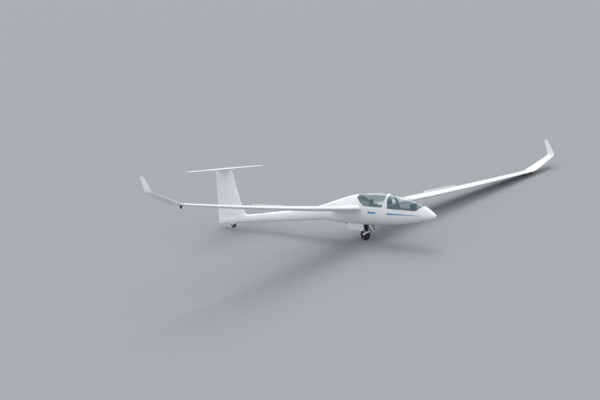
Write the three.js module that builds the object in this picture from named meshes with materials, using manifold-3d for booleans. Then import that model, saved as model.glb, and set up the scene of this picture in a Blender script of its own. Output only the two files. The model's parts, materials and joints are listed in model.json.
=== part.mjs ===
// A two-seat T-tail sailplane, parked on its main wheel, tail wheel and port wing wheel.
// Lengths are millimetres. The craft's own frame has its nose tip at the origin, +X forward, +Y to port and
// +Z up, and a station is the distance behind the nose tip. The last section tips that frame into the parked
// stance and moves the origin to the ground under the middle of the aircraft.

import * as THREE from 'three';
import { mergeVertices } from 'three/addons/utils/BufferGeometryUtils.js';
import Module from 'manifold-3d';

const wasm = await Module();
wasm.setup();

// Driving dimensions

const SEAT_GAP = 0.3;
const SURFACE_GAP = 7;
const PARTING_GAP = 3;
const SKIN = 25;
const CANOPY_FRAME_THICKNESS = 20;
const GLASS_THICKNESS = 7;
const BEYOND = 2000;

const HULL_TAIL = 8385;
const BOOM_START = 4350;
const WELL = { front: 2558, rear: 3460, halfWidth: 135, roof: 120 };
const ROOT_RIB = 420;

const RUDDER = { bottom: -4, top: 1652, hingeLow: 8398, hingeHigh: 8416, swing: 30 };
const ELEVATOR = { half: 1690, hinge: 8355, up: 25, down: 18 };
const AILERON = { inner: 5200, outer: 8420, inHinge: 3406, outHinge: 3212, swing: 20 };
const AIRBRAKE = { inner: 3490, outer: 5010, chordPart: 0.47, height: 100, thickness: 26, out: 45, more: 45 };
const CANOPY_OPEN = { front: 75, rear: 65 };

const MAIN_WHEEL = { station: 2802, y: 0, z: -487, radius: 175, half: 63.5, bore: 12.5 };
const TAIL_WHEEL = { station: 7988, y: 0, z: -75, radius: 90, half: 28, bore: 8.5 };
const WING_WHEEL = { station: 3030, y: 8500, z: 867, radius: 42, half: 17, bore: 4.5 };

// Finishes

const finish = (color, roughness, metalness = 0, opacity = 1) =>
  new THREE.MeshStandardMaterial({ color, roughness, metalness, opacity, transparent: opacity < 1 });
const GELCOAT = finish(0xf4f5f4, 0.25);
const TINTED_GLASS = finish(0x8fb3ae, 0.05, 0, 0.35);
const DARK_METAL = finish(0x2b2d30, 0.5, 0.6);
const LIGHT_METAL = finish(0xb9bcc0, 0.35, 0.8);
const BLACK_RUBBER = finish(0x151515, 0.85);
const GREY_LINING = finish(0x6d7176, 0.7);
const BLACK_PLASTIC = finish(0x1c1d1f, 0.6);
const CUSHION_CLOTH = finish(0x3a4350, 0.95);

// Solids and meshes

const at = (station, y, z) => new THREE.Vector3(-station, y, z);

function signedVolume(points, faces) {
  let sum = 0;
  for (const [a, b, c] of faces) {
    sum += points[a].dot(new THREE.Vector3().crossVectors(points[b], points[c]));
  }
  return sum / 6;
}

// A closed solid through rings of points. All rings have the same number of points, and a ring starts at one
// end of its long axis, so that its flat cap can be zipped from its first and last points inwards.
function loft(rings) {
  const count = rings[0].length;
  const points = rings.flat();
  const faces = [];
  for (let r = 0; r + 1 < rings.length; r += 1) {
    for (let k = 0; k < count; k += 1) {
      const a = r * count + k;
      const b = r * count + (k + 1) % count;
      faces.push([a, b, b + count], [a, b + count, a + count]);
    }
  }
  const cap = (start, flip) => {
    for (let low = 0, high = count - 1; low + 1 < high; low += 1, high -= 1) {
      const quad = [low, low + 1, high - 1, high].map((k) => start + k);
      const pair = [[quad[0], quad[1], quad[3]], [quad[1], quad[2], quad[3]]];
      for (const [a, b, c] of pair) {
        if (b !== c) faces.push(flip ? [a, c, b] : [a, b, c]);
      }
    }
  };
  cap(0, true);
  cap((rings.length - 1) * count, false);
  const inward = signedVolume(points, faces) < 0;
  const geometry = new THREE.BufferGeometry();
  const numbers = points.flatMap((point) => point.toArray());
  geometry.setAttribute('position', new THREE.Float32BufferAttribute(numbers, 3));
  geometry.setIndex(faces.flatMap(([a, b, c]) => (inward ? [a, c, b] : [a, b, c])));
  return solid(geometry);
}

function solid(geometry) {
  const bare = geometry.clone();
  bare.deleteAttribute('normal');
  bare.deleteAttribute('uv');
  const merged = mergeVertices(bare, 1e-3);
  return new wasm.Manifold(new wasm.Mesh({
    numProp: 3,
    vertProperties: new Float32Array(merged.attributes.position.array),
    triVerts: new Uint32Array(merged.index.array),
  }));
}

const union = (pieces) => pieces.reduce((whole, piece) => whole.add(piece));
const without = (body, cutters) => cutters.reduce((rest, cutter) => rest.subtract(cutter), body);

// A mesh of a solid that was made in the craft's frame, hung under a pivot that stands at `origin`
function meshOf(name, body, material, origin = at(0, 0, 0)) {
  const { vertProperties, triVerts, numProp } = body.getMesh();
  const positions = [];
  for (let k = 0; k < vertProperties.length; k += numProp) {
    positions.push(vertProperties[k], vertProperties[k + 1], vertProperties[k + 2]);
  }
  const geometry = new THREE.BufferGeometry();
  geometry.setAttribute('position', new THREE.Float32BufferAttribute(positions, 3));
  geometry.setIndex(Array.from(triVerts));
  geometry.translate(-origin.x, -origin.y, -origin.z);
  geometry.computeVertexNormals();
  const mesh = new THREE.Mesh(geometry, material);
  mesh.name = name;
  return mesh;
}

// An outline drawn in the side view as [station, height] pairs, pushed through from one y to the other
function sidePrism(outline, fromY, toY) {
  const shape = new THREE.Shape(outline.map(([station, z]) => new THREE.Vector2(-station, z)));
  const geometry = new THREE.ExtrudeGeometry(shape, { depth: toY - fromY, bevelEnabled: false });
  geometry.rotateX(Math.PI / 2);
  geometry.translate(0, toY, 0);
  return solid(geometry);
}

const slabBetween = (front, rear, low, high, halfWidth, y = 0) =>
  sidePrism([[front, low], [rear, low], [rear, high], [front, high]], y - halfWidth, y + halfWidth);

// A round bar from one point to another
function bar(from, to, radius, sides = 12) {
  const length = from.distanceTo(to);
  const geometry = new THREE.CylinderGeometry(radius, radius, length, sides);
  const along = new THREE.Vector3().subVectors(to, from).normalize();
  geometry.applyQuaternion(new THREE.Quaternion().setFromUnitVectors(new THREE.Vector3(0, 1, 0), along));
  geometry.translate((from.x + to.x) / 2, (from.y + to.y) / 2, (from.z + to.z) / 2);
  return solid(geometry);
}

// A box on its own three axes: `size` is its length along each of them
function boxAlong(centre, axes, size) {
  const geometry = new THREE.BoxGeometry(...size);
  geometry.applyMatrix4(new THREE.Matrix4().makeBasis(...axes));
  geometry.translate(centre.x, centre.y, centre.z);
  return solid(geometry);
}

// A ring turned about an axle that runs along Y, from [radius, y] pairs
function turned(wheel, profile, segments) {
  const closed = [...profile, profile[0]].map(([radius, y]) => new THREE.Vector2(radius, y));
  const geometry = new THREE.LatheGeometry(closed, segments);
  geometry.translate(-wheel.station, wheel.y, wheel.z);
  const body = solid(geometry);
  return body.volume() > 0 ? body : solid(turnedInsideOut(geometry));
}

function turnedInsideOut(geometry) {
  const flipped = geometry.clone();
  const index = Array.from(flipped.index.array);
  for (let k = 0; k < index.length; k += 3) [index[k + 1], index[k + 2]] = [index[k + 2], index[k + 1]];
  flipped.setIndex(index);
  return flipped;
}

// Fuselage

// Columns: station, top, bottom, half width, height of the widest point
const HULL = [
  [0, 14, -14, 14, 0],
  [25, 42, -30, 38, 4],
  [110, 108, -66, 96, 14],
  [258, 212, -100, 160, 36],
  [431, 318, -122, 206, 66],
  [657, 422, -150, 252, 98],
  [859, 500, -172, 284, 126],
  [1090, 580, -188, 312, 154],
  [1360, 654, -202, 335, 184],
  [1640, 712, -212, 352, 212],
  [1940, 760, -219, 361, 232],
  [2240, 786, -221, 362, 244],
  [2560, 789, -213, 352, 248],
  [2880, 768, -198, 328, 246],
  [3200, 729, -172, 296, 240],
  [3480, 676, -138, 264, 232],
  [3760, 612, -92, 232, 224],
  [4040, 548, -46, 205, 216],
  [4350, 474, -12, 180, 206],
  [4800, 396, -2, 156, 184],
  [5400, 334, -8, 140, 160],
  [6200, 282, -16, 124, 134],
  [7000, 238, -18, 106, 112],
  [7560, 208, -24, 88, 96],
  [8000, 186, -30, 66, 82],
  [8385, 164, -32, 26, 70],
];
const HULL_POINTS = 32;
const ROUNDNESS = 2.15;

function hullRing([station, top, bottom, halfWidth, widest], offset) {
  const ring = [];
  for (let k = 0; k < HULL_POINTS; k += 1) {
    const turn = 2 * Math.PI * (k + 0.5) / HULL_POINTS;
    const out = Math.sign(Math.cos(turn)) * Math.abs(Math.cos(turn)) ** (2 / ROUNDNESS);
    const rise = Math.sign(Math.sin(turn)) * Math.abs(Math.sin(turn)) ** (2 / ROUNDNESS);
    const reach = rise > 0 ? top + offset - widest : widest - bottom + offset;
    ring.push(at(station, out * (halfWidth + offset), widest + rise * reach));
  }
  return ring;
}

// The fuselage's outer form, or a form that lies `offset` outside or inside it
const hullForm = (offset = 0, from = 0, to = HULL_TAIL) =>
  loft(HULL.filter(([station]) => station >= from && station <= to).map((row) => hullRing(row, offset)));

// Side-view line that parts the cockpit shell from the centre section, [station, height]
const COCKPIT_END = [[2540, 305], [2710, 400], [3120, 655]];
const cockpitSide = (grow) => sidePrism([
  [-100, -BEYOND], [COCKPIT_END[0][0] + grow, -BEYOND],
  ...COCKPIT_END.map(([station, z]) => [station + grow, z - grow]),
  [COCKPIT_END[2][0] + grow, BEYOND], [-100, BEYOND],
], -BEYOND, BEYOND);

// The open cockpit, inside its walls: bulkheads in front and behind, and a shelf over the wheel bay
const CAVITY = [
  [300, -BEYOND], [2515, -BEYOND], [2515, 335], [2690, 428], [3010, 630], [3010, BEYOND], [300, BEYOND],
];

// Canopy outlines in the side view, [station, height], from the front sill round to the front sill
const FRONT_CANOPY = [[560, 146], [1724, 263], [1724, BEYOND], [300, BEYOND], [300, 396]];
const FRONT_GLASS = [[620, 184], [1650, 292], [1653, 400], [1674, 522], [1690, 600], [1690, BEYOND],
  [300, BEYOND], [300, 500], [452, 308]];
const REAR_CANOPY = [[1732, 280], [2490, 280], [2640, 368], [3045, 662],
  [3045, BEYOND], [1732, BEYOND]];
const REAR_GLASS = [[1845, 335], [2560, 396], [2620, 424], [2860, 640], [2890, 700], [2895, BEYOND],
  [1755, BEYOND], [1760, 640], [1764, 565], [1784, 475], [1814, 415]];

// Moves every edge of a side-view outline outwards; the outline runs anticlockwise seen with the nose at left
function grown(outline, by) {
  const points = outline.map(([station, z]) => new THREE.Vector2(station, z));
  const turns = THREE.ShapeUtils.isClockWise(points) ? -1 : 1;
  return points.map((point, k) => {
    const before = points[(k + points.length - 1) % points.length];
    const after = points[(k + 1) % points.length];
    const outwards = (from, to) => new THREE.Vector2(to.y - from.y, from.x - to.x).normalize();
    const [outBefore, outAfter] = [outwards(before, point), outwards(point, after)];
    const mitre = outBefore.clone().add(outAfter);
    mitre.multiplyScalar(turns * by / (1 + outBefore.dot(outAfter)));
    return [point.x + mitre.x, point.y + mitre.y];
  });
}

// The hoop under the meeting canopy frames, [station] span and its depth inside the skin
const HOOP = { front: 1690, rear: 1766, outside: 21, inside: 48 };

// Canopy hinges on the starboard sill: the axis runs through two points just outside the skin
const CANOPY_HINGES = {
  front: { from: at(700, -294, 162), to: at(1650, -374, 257), stations: [0.36, 0.74] },
  rear: { from: at(1900, -376, 280), to: at(2400, -376, 280), stations: [0.16, 0.9] },
};
const KNUCKLE = { radius: 8, lug: 26, ear: 12, reach: 52, slope: 1.9 };

const hingeAxis = ({ from, to }) => new THREE.Vector3().subVectors(from, to).normalize();

// One canopy hinge: ears that belong to the sill below and a lug that belongs to the canopy above
function canopyKnuckles(hinge) {
  const along = hingeAxis(hinge);
  const ears = [];
  const lugs = [];
  for (const part of hinge.stations) {
    const centre = new THREE.Vector3().lerpVectors(hinge.from, hinge.to, part);
    const arm = (middle, width, rise) => {
      const half = along.clone().multiplyScalar(width / 2);
      const pin = bar(middle.clone().sub(half), middle.clone().add(half), KNUCKLE.radius);
      const side = new THREE.Vector3(0, 1, rise).normalize();
      const up = new THREE.Vector3().crossVectors(along, side).normalize();
      const inward = new THREE.Vector3().crossVectors(up, along).normalize();
      const middleOfArm = middle.clone().addScaledVector(inward, KNUCKLE.reach / 2);
      return pin.add(boxAlong(middleOfArm, [along, inward, up], [width, KNUCKLE.reach, 9]));
    };
    lugs.push(arm(centre, KNUCKLE.lug, KNUCKLE.slope));
    for (const way of [-1, 1]) {
      const shift = way * (KNUCKLE.lug / 2 + SEAT_GAP + KNUCKLE.ear / 2);
      ears.push(arm(centre.clone().addScaledVector(along, shift), KNUCKLE.ear, -KNUCKLE.slope));
    }
  }
  return { ears, lugs };
}

const hull = hullForm();
const inner = hullForm(-SKIN, 25);
const frontHinge = canopyKnuckles(CANOPY_HINGES.front);
const rearHinge = canopyKnuckles(CANOPY_HINGES.rear);

function cockpitShell() {
  const cavity = inner.intersect(sidePrism(CAVITY, -BEYOND, BEYOND));
  const shell = without(hull.intersect(cockpitSide(0)), [
    cavity,
    sidePrism(grown(FRONT_CANOPY, PARTING_GAP), -BEYOND, BEYOND),
    sidePrism(grown(REAR_CANOPY, PARTING_GAP), -BEYOND, BEYOND),
    bar(at(-10, 0, 0), at(70, 0, 0), 11, 20),
  ]);
  const hoop = without(
    hullForm(-HOOP.outside, 1090, 2880).intersect(slabBetween(HOOP.front, HOOP.rear, 150, BEYOND, BEYOND)),
    [hullForm(-HOOP.inside, 859, 3200)],
  );
  const outsideInner = hullForm(-CANOPY_FRAME_THICKNESS, 25);
  const ears = union([...frontHinge.ears, ...rearHinge.ears]).subtract(outsideInner);
  return union([shell, hoop, ears]);
}

function canopy(outline, glassOutline, lugs) {
  const above = sidePrism(outline, -BEYOND, BEYOND);
  const behindGlass = sidePrism(glassOutline, -BEYOND, BEYOND);
  const skin = hull.subtract(hullForm(-CANOPY_FRAME_THICKNESS, 25)).intersect(above);
  const pane = hull.subtract(hullForm(-GLASS_THICKNESS, 25)).intersect(above);
  const lug = union(lugs).subtract(hullForm(-CANOPY_FRAME_THICKNESS, 25)).subtract(behindGlass);
  return {
    frame: skin.subtract(behindGlass).add(lug),
    glass: pane.intersect(sidePrism(grown(glassOutline, -SEAT_GAP), -BEYOND, BEYOND)),
  };
}

// Wings

const RISE = { root: 308.6, slope: 0.04975, bend: 2.953e-6 };
const wingHeight = (y) => RISE.root + RISE.slope * y + RISE.bend * y * y;
const wingRoll = (y) => Math.atan(RISE.slope + 2 * RISE.bend * y);
const degrees = THREE.MathUtils.degToRad;

// Columns: span position, leading edge station, chord, thickness ratio, incidence in degrees
const PLANFORM = [
  [420, 2660, 1130, 0.150, 2.5],
  [2900, 2675, 1070, 0.143, 2.0],
  [5400, 2700, 868, 0.137, 1.4],
  [7400, 2733, 690, 0.130, 0.9],
  [8600, 2750, 560, 0.125, 0.5],
];
const WING_RIBS = [420, 1250, 2080, 2900, 3730, 4560, 5400, 6400, 7400, 8000, 8600];

function planformAt(y) {
  const last = PLANFORM.length - 2;
  const row = Math.min(last, Math.max(0, PLANFORM.findIndex(([span]) => span >= y) - 1));
  const [a, b] = [PLANFORM[row], PLANFORM[row + 1]];
  const part = (y - a[0]) / (b[0] - a[0]);
  const [, station, chord, thickness, incidence] = a.map((value, k) => value + part * (b[k] - value));
  return { y, station, z: wingHeight(y), chord, thickness, incidence, roll: wingRoll(y) };
}

// Half thickness and camber of the wing section, as parts of the chord
const halfThickness = (x, t) =>
  5 * t * (0.2969 * Math.sqrt(x) - 0.126 * x - 0.3516 * x ** 2 + 0.2843 * x ** 3 - 0.1015 * x ** 4);
const CAMBER = { height: 0.025, peak: 0.45 };
function camberLine(x, height = CAMBER.height) {
  const { peak } = CAMBER;
  if (x < peak) return height / peak ** 2 * (2 * peak * x - x * x);
  return height / (1 - peak) ** 2 * (1 - 2 * peak + 2 * peak * x - x * x);
}

// Puts a point of a section, chordwise and upwards in chords, into the craft's frame
function onSection(section, side, x, up) {
  const turn = degrees(section.incidence ?? 0);
  const along = section.chord * (x * Math.cos(turn) + up * Math.sin(turn));
  const rise = section.chord * (up * Math.cos(turn) - x * Math.sin(turn));
  const y = section.y - Math.sin(section.roll) * rise;
  return at(section.station + along, side * y, section.z + Math.cos(section.roll) * rise);
}

const CHORD_STEPS = 10;
const chordSteps = Array.from({ length: CHORD_STEPS + 1 }, (_, k) =>
  (1 - Math.cos(Math.PI * k / CHORD_STEPS)) / 2);

function sectionRing(section, side, camber = CAMBER.height) {
  const skin = (steps, way) => steps.map((x) =>
    onSection(section, side, x, camberLine(x, camber) + way * halfThickness(x, section.thickness)));
  return [...skin([...chordSteps].reverse(), 1), ...skin(chordSteps.slice(1), -1)];
}

// A moving surface's hinge in a section: where it lies along the chord, and the nose radius it allows
function hingeIn(section, hingeStation, camber) {
  const x = (hingeStation - section.station) / section.chord;
  return { x, up: camberLine(x, camber), nose: halfThickness(x, section.thickness) };
}

const NOSE_STEPS = 6;

// The part of a section behind its hinge, with a round nose about the hinge
function flapRing(section, side, hingeStation, camber) {
  const { x, up, nose } = hingeIn(section, hingeStation, camber);
  const behind = [1, 0.75, 0.5, 0.25].map((part) => x + (1 - x) * part);
  const skin = (way) => behind.map((c) =>
    onSection(section, side, c, camberLine(c, camber) + way * halfThickness(c, section.thickness)));
  const [upper, lower] = [skin(1), skin(-1)];
  const round = [];
  for (let k = 0; k <= NOSE_STEPS; k += 1) {
    const turn = Math.PI / 2 + Math.PI * k / NOSE_STEPS;
    round.push(onSection(section, side, x + nose * Math.cos(turn), up + nose * Math.sin(turn)));
  }
  return [...upper, ...round, ...lower.reverse()];
}

// The space that a moving surface needs: a round cove about the hinge and everything behind it
function coveRing(section, side, hingeStation, camber, gap = SURFACE_GAP) {
  const { x, up, nose } = hingeIn(section, hingeStation, camber);
  const radius = nose + gap / section.chord;
  const tall = 90 / section.chord;
  const corner = (c, h) => onSection(section, side, c, up + h);
  const round = [];
  for (let k = 0; k <= NOSE_STEPS; k += 1) {
    const turn = Math.PI / 2 + Math.PI * k / NOSE_STEPS;
    round.push(corner(x + radius * Math.cos(turn), radius * Math.sin(turn)));
  }
  return [corner(1.3, tall), corner(x, tall), ...round, corner(x, -tall), corner(1.3, -tall)];
}

// A hinge bracket on the fixed side and the slot that it needs in the moving surface
const BRACKET = { width: 30, behind: 8, halfHeight: 6, slotBehind: 16 };
function bracketAt(point, hinge, reach) {
  const spanwise = hinge.axis.clone();
  const back = new THREE.Vector3(-1, 0, 0).addScaledVector(spanwise, spanwise.x).normalize();
  const up = new THREE.Vector3().crossVectors(back, spanwise).normalize();
  const axes = [back, spanwise, up];
  const block = (front, rear, width, halfHeight) => {
    const centre = point.clone().addScaledVector(back, (rear + front) / 2);
    return boxAlong(centre, axes, [rear - front, width, 2 * halfHeight]);
  };
  return {
    block: block(-reach, BRACKET.behind, BRACKET.width, BRACKET.halfHeight),
    slot: block(-reach, BRACKET.slotBehind, BRACKET.width + 2 * SEAT_GAP, 100),
  };
}

// Spanwise positions of the hinge brackets, as parts of the moving surface's length
const AILERON_BRACKETS = [0.04, 0.5, 0.96];

function aileronHinge(side) {
  const rib = (y, station) => {
    const section = planformAt(y);
    const { x, up } = hingeIn(section, station, CAMBER.height);
    return onSection(section, side, x, up);
  };
  const inner = rib(AILERON.inner, AILERON.inHinge);
  const outer = rib(AILERON.outer, AILERON.outHinge);
  const middleY = (AILERON.inner + AILERON.outer) / 2;
  const sag = (inner.z + outer.z) / 2 - rib(middleY, (AILERON.inHinge + AILERON.outHinge) / 2).z;
  inner.z -= sag / 2;
  outer.z -= sag / 2;
  const port = side > 0 ? [inner, outer] : [outer, inner];
  return { inner, outer, axis: new THREE.Vector3().subVectors(port[1], port[0]).normalize() };
}

const aileronHingeStation = (y) => THREE.MathUtils.mapLinear(
  y, AILERON.inner, AILERON.outer, AILERON.inHinge, AILERON.outHinge);

function aileronRings(side, endGap, ring) {
  const ribs = [AILERON.inner - endGap, 5900, 6600, 7400, 7950, AILERON.outer + endGap];
  return ribs.map((y) => ring(planformAt(y), side, aileronHingeStation(y), CAMBER.height));
}

// The airbrake's own frame: its middle on the upper skin, and its spanwise, chordwise and sliding directions
function airbrakeFrame(side) {
  const on = (y) => {
    const section = planformAt(y);
    const x = AIRBRAKE.chordPart;
    return onSection(section, side, x, camberLine(x) + halfThickness(x, section.thickness));
  };
  const inner = on(AIRBRAKE.inner);
  const outer = on(AIRBRAKE.outer);
  const along = new THREE.Vector3().subVectors(outer, inner);
  const length = along.length();
  along.normalize();
  const chordwise = new THREE.Vector3(-1, 0, 0).addScaledVector(along, along.x).normalize();
  chordwise.multiplyScalar(side);
  const slide = new THREE.Vector3().crossVectors(along, chordwise);
  return { middle: inner.clone().lerp(outer, 0.5), axes: [along, chordwise, slide], length, slide };
}

const AIRBRAKE_CAP = { width: 44, thickness: 8 };
const AIRBRAKE_SLOT = { width: 58, guide: 24, guideGap: 0.5, below: 6 };

function airbrakeBlock(frame, length, width, low, high) {
  const centre = frame.middle.clone().addScaledVector(frame.slide, (low + high) / 2);
  return boxAlong(centre, frame.axes, [length, width, high - low]);
}

function airbrakeBlade(frame) {
  const { height, thickness, out } = AIRBRAKE;
  const blade = airbrakeBlock(frame, frame.length, thickness, out - height, out - AIRBRAKE_CAP.thickness / 2);
  const capLength = frame.length - 2 * AIRBRAKE_SLOT.guide - 12;
  const cap = airbrakeBlock(frame, capLength, AIRBRAKE_CAP.width, out - AIRBRAKE_CAP.thickness, out);
  return blade.add(cap);
}

function airbrakeSlot(frame) {
  const { guide, guideGap, width, below } = AIRBRAKE_SLOT;
  const floor = -AIRBRAKE.height - below;
  const { length } = frame;
  const wide = airbrakeBlock(frame, length - 2 * guide, width, floor, 60);
  const narrow = airbrakeBlock(frame, length + 2 * guideGap, AIRBRAKE.thickness + 2 * guideGap, floor, 60);
  return wide.add(narrow);
}

// The wing panel's form, or the same form dropped by a distance
const wingPanel = (side, drop = 0) => loft(WING_RIBS.map((y) => {
  const section = planformAt(y);
  return sectionRing({ ...section, z: section.z - drop }, side);
}));

// The fairing over the aileron's push rod, under the trailing edge
const DRIVE_FAIRING = { y: 6850, length: 190, halfWidth: 16, depth: 22 };
function driveFairing(side) {
  const section = planformAt(DRIVE_FAIRING.y);
  const hingeAt = aileronHingeStation(DRIVE_FAIRING.y);
  const rearEnd = hingeAt - section.chord * hingeIn(section, hingeAt, CAMBER.height).nose - SURFACE_GAP - 8;
  const x = (rearEnd - section.station) / section.chord;
  const belly = onSection(section, side, x, camberLine(x) - halfThickness(x, section.thickness));
  const sizes = [[0, 0.2], [0.35, 1], [0.75, 1], [1, 0.25]];
  const rings = sizes.map(([part, size]) => {
    const station = rearEnd - DRIVE_FAIRING.length * (1 - part);
    return Array.from({ length: 10 }, (_, k) => {
      const turn = 2 * Math.PI * (k + 0.5) / 10;
      return at(station, belly.y + size * DRIVE_FAIRING.halfWidth * Math.cos(turn),
        belly.z + size * DRIVE_FAIRING.depth * Math.sin(turn));
    });
  });
  return loft(rings);
}

function aileronBrackets(side) {
  const hinge = aileronHinge(side);
  return AILERON_BRACKETS.map((part) =>
    bracketAt(new THREE.Vector3().lerpVectors(hinge.inner, hinge.outer, part), hinge, 70));
}

function mainPanel(side) {
  const cove = loft(aileronRings(side, 6, coveRing));
  const slot = airbrakeSlot(airbrakeFrame(side));
  const brackets = aileronBrackets(side).map(({ block }) => block);
  return without(wingPanel(side), [cove, slot]).add(union([...brackets, driveFairing(side)]));
}

function aileron(side) {
  return without(loft(aileronRings(side, 0, flapRing)), aileronBrackets(side).map(({ slot }) => slot));
}

// Columns: span position, leading edge station, height, chord, thickness ratio, incidence and roll in degrees
const TIP_RIBS = [
  [8600.3, 2750, wingHeight(8600.3), 560, 0.125, 0.5, 5.9],
  [8700, 2751, 966, 530, 0.125, 0.5, 9],
  [8800, 2760, 990, 506, 0.122, 0.4, 17],
  [9350, 2828, 1177, 398, 0.118, 0.2, 19],
  [9860, 2894, 1356, 302, 0.112, 0, 20],
];
const WINGLET_RIBS = [
  [9860.3, 2894, 1356, 302, 0.112, 0, 20],
  [9925, 2906, 1383, 286, 0.105, 0, 33],
  [9966, 2922, 1430, 268, 0.100, 0, 62],
  [9978, 2955, 1500, 246, 0.095, 0, 84],
  [9996, 3186, 1878, 127, 0.090, 0, 88],
];
const ribOf = ([y, station, z, chord, thickness, incidence, roll]) =>
  ({ y, station, z, chord, thickness, incidence, roll: degrees(roll) });
const ribLoft = (rows, side) => loft(rows.map((row) => sectionRing(ribOf(row), side, 0.018)));

// The wing's root fairing, one piece straight through the fuselage
const ROOT_FAIRING = [
  // span position, leading edge station, chord, thickness ratio
  [420 - SEAT_GAP, 2660, 1130, 0.150],
  [345, 2652, 1160, 0.152],
  [270, 2622, 1250, 0.160],
  [150, 2600, 1330, 0.165],
];
function rootFairing() {
  const rows = [...ROOT_FAIRING, ...[...ROOT_FAIRING].reverse().map(([y, ...rest]) => [-y, ...rest])];
  return loft(rows.map(([y, station, chord, thickness]) => sectionRing({
    y, station, chord, thickness, z: wingHeight(Math.abs(y)), incidence: 2.5,
    roll: Math.sign(y) * Math.min(1, Math.abs(y) / ROOT_RIB) * wingRoll(ROOT_RIB),
  }, 1)));
}

function centreSection() {
  const body = hull.intersect(slabBetween(2300, BOOM_START, -BEYOND, BEYOND, BEYOND)).add(rootFairing());
  const well = slabBetween(WELL.front, WELL.rear, -BEYOND, WELL.roof, WELL.halfWidth);
  return without(body, [cockpitSide(SEAT_GAP), well]);
}

// Tail

const TAIL_WELL = { half: 104, halfWidth: 35, roof: 34 };
function tailWell() {
  const { half, halfWidth, roof } = TAIL_WELL;
  return slabBetween(TAIL_WHEEL.station - half, TAIL_WHEEL.station + half, -400, roof, halfWidth);
}

// Columns: height, leading edge station, trailing edge station, thickness ratio
const FIN = [
  [40, 7340, 8573, 0.085],
  [150, 7388, 8574, 0.09],
  [215, 7442, 8575, 0.098],
  [300, 7520, 8576, 0.108],
  [929, 7750, 8583, 0.118],
  [1570, 7948, 8591, 0.118],
  [1661, 7978, 8592, 0.118],
];
function finAt(z) {
  const row = Math.min(FIN.length - 2, Math.max(0, FIN.findIndex(([height]) => height >= z) - 1));
  const [a, b] = [FIN[row], FIN[row + 1]];
  const part = (z - a[0]) / (b[0] - a[0]);
  const [, station, trailing, thickness] = a.map((value, k) => value + part * (b[k] - value));
  return { y: z, station, z: 0, chord: trailing - station, thickness, incidence: 0, roll: 0 };
}

// The fin's sections lie flat: span runs up and section height runs to port
const uprightRing = (ring) => ring.map((p) => new THREE.Vector3(p.x, p.z, p.y));
const rudderHingeStation = (z) => THREE.MathUtils.mapLinear(z, 0, 1587, RUDDER.hingeLow, RUDDER.hingeHigh);
const rudderRings = (heights, ring) =>
  heights.map((z) => uprightRing(ring(finAt(z), 1, rudderHingeStation(z), 0)));

// The lowest rudder bracket stands on the tail boom, the others on the fin
const RUDDER_BRACKETS = [0.06, 0.5, 0.94];

const rudderHinge = (() => {
  const low = at(rudderHingeStation(RUDDER.bottom), 0, RUDDER.bottom);
  const high = at(rudderHingeStation(RUDDER.top), 0, RUDDER.top);
  return { low, high, axis: new THREE.Vector3().subVectors(high, low).normalize() };
})();
const rudderBrackets = () => RUDDER_BRACKETS.map((part) =>
  bracketAt(new THREE.Vector3().lerpVectors(rudderHinge.low, rudderHinge.high, part), rudderHinge, 75));

// Columns: span position, leading edge station, chord, thickness ratio
const TAILPLANE = [
  [-1715, 8112, 322, 0.085],
  [-1690, 8098, 345, 0.095],
  [0, 7955, 605, 0.108],
  [1690, 8098, 345, 0.095],
  [1715, 8112, 322, 0.085],
];
const TAILPLANE_HEIGHT = 1662;
const tailplaneRib = ([y, station, chord, thickness], drop = 0) =>
  ({ y, station, z: TAILPLANE_HEIGHT - drop, chord, thickness, incidence: 0, roll: 0 });
const tailplane = (drop = 0) => loft(TAILPLANE.map((row) => sectionRing(tailplaneRib(row, drop), 1, 0)));
const elevatorRings = (ends, ring) => [[-ends, 3], [0, 2], [ends, 3]].map(([y, row]) => {
  const part = Math.abs(y) / TAILPLANE[row][0] || 0;
  const [middle, end] = [TAILPLANE[2], TAILPLANE[3]];
  const rib = [y, ...[1, 2, 3].map((k) => middle[k] + part * (end[k] - middle[k]))];
  return ring(tailplaneRib(rib), 1, ELEVATOR.hinge, 0);
});
const elevatorHinge = { axis: new THREE.Vector3(0, 1, 0), middle: at(ELEVATOR.hinge, 0, TAILPLANE_HEIGHT) };
const ELEVATOR_BRACKETS = [-1180, 0, 1180];
const elevatorBrackets = () => ELEVATOR_BRACKETS.map((y) =>
  bracketAt(at(ELEVATOR.hinge, y, TAILPLANE_HEIGHT), elevatorHinge, 60));

function fin() {
  const heights = FIN.map(([z]) => z);
  const blade = loft(heights.map((z) => uprightRing(sectionRing(finAt(z), 1, 0))));
  const cove = loft(rudderRings([-200, 0, 929, 1700], coveRing));
  const crown = slabBetween(7000, 9000, TAILPLANE_HEIGHT, BEYOND, BEYOND);
  const elevatorRoom = slabBetween(ELEVATOR.hinge - 32, 9000, 1622, BEYOND, BEYOND);
  const [, ...brackets] = rudderBrackets().map(({ block }) => block);
  return without(union([blade.subtract(cove), ...brackets]), [
    hullForm(SEAT_GAP, 6200), crown, elevatorRoom, tailplane(SEAT_GAP),
  ]);
}

// Above this side-view line the rudder would meet the elevator's middle, [station, height]
const RUDDER_CROWN = [[8300, 1600], [8430, 1619], [8620, 1648]];
function rudder() {
  const blade = loft(rudderRings([RUDDER.bottom, 300, 929, 1570, RUDDER.top], flapRing));
  const crown = sidePrism([...RUDDER_CROWN, [8620, BEYOND], [8300, BEYOND]], -200, 200);
  return without(blade, [crown, ...rudderBrackets().map(({ slot }) => slot)]);
}

function stabiliser() {
  const cove = loft(elevatorRings(1800, coveRing));
  return tailplane().subtract(cove).add(union(elevatorBrackets().map(({ block }) => block)));
}

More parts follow.
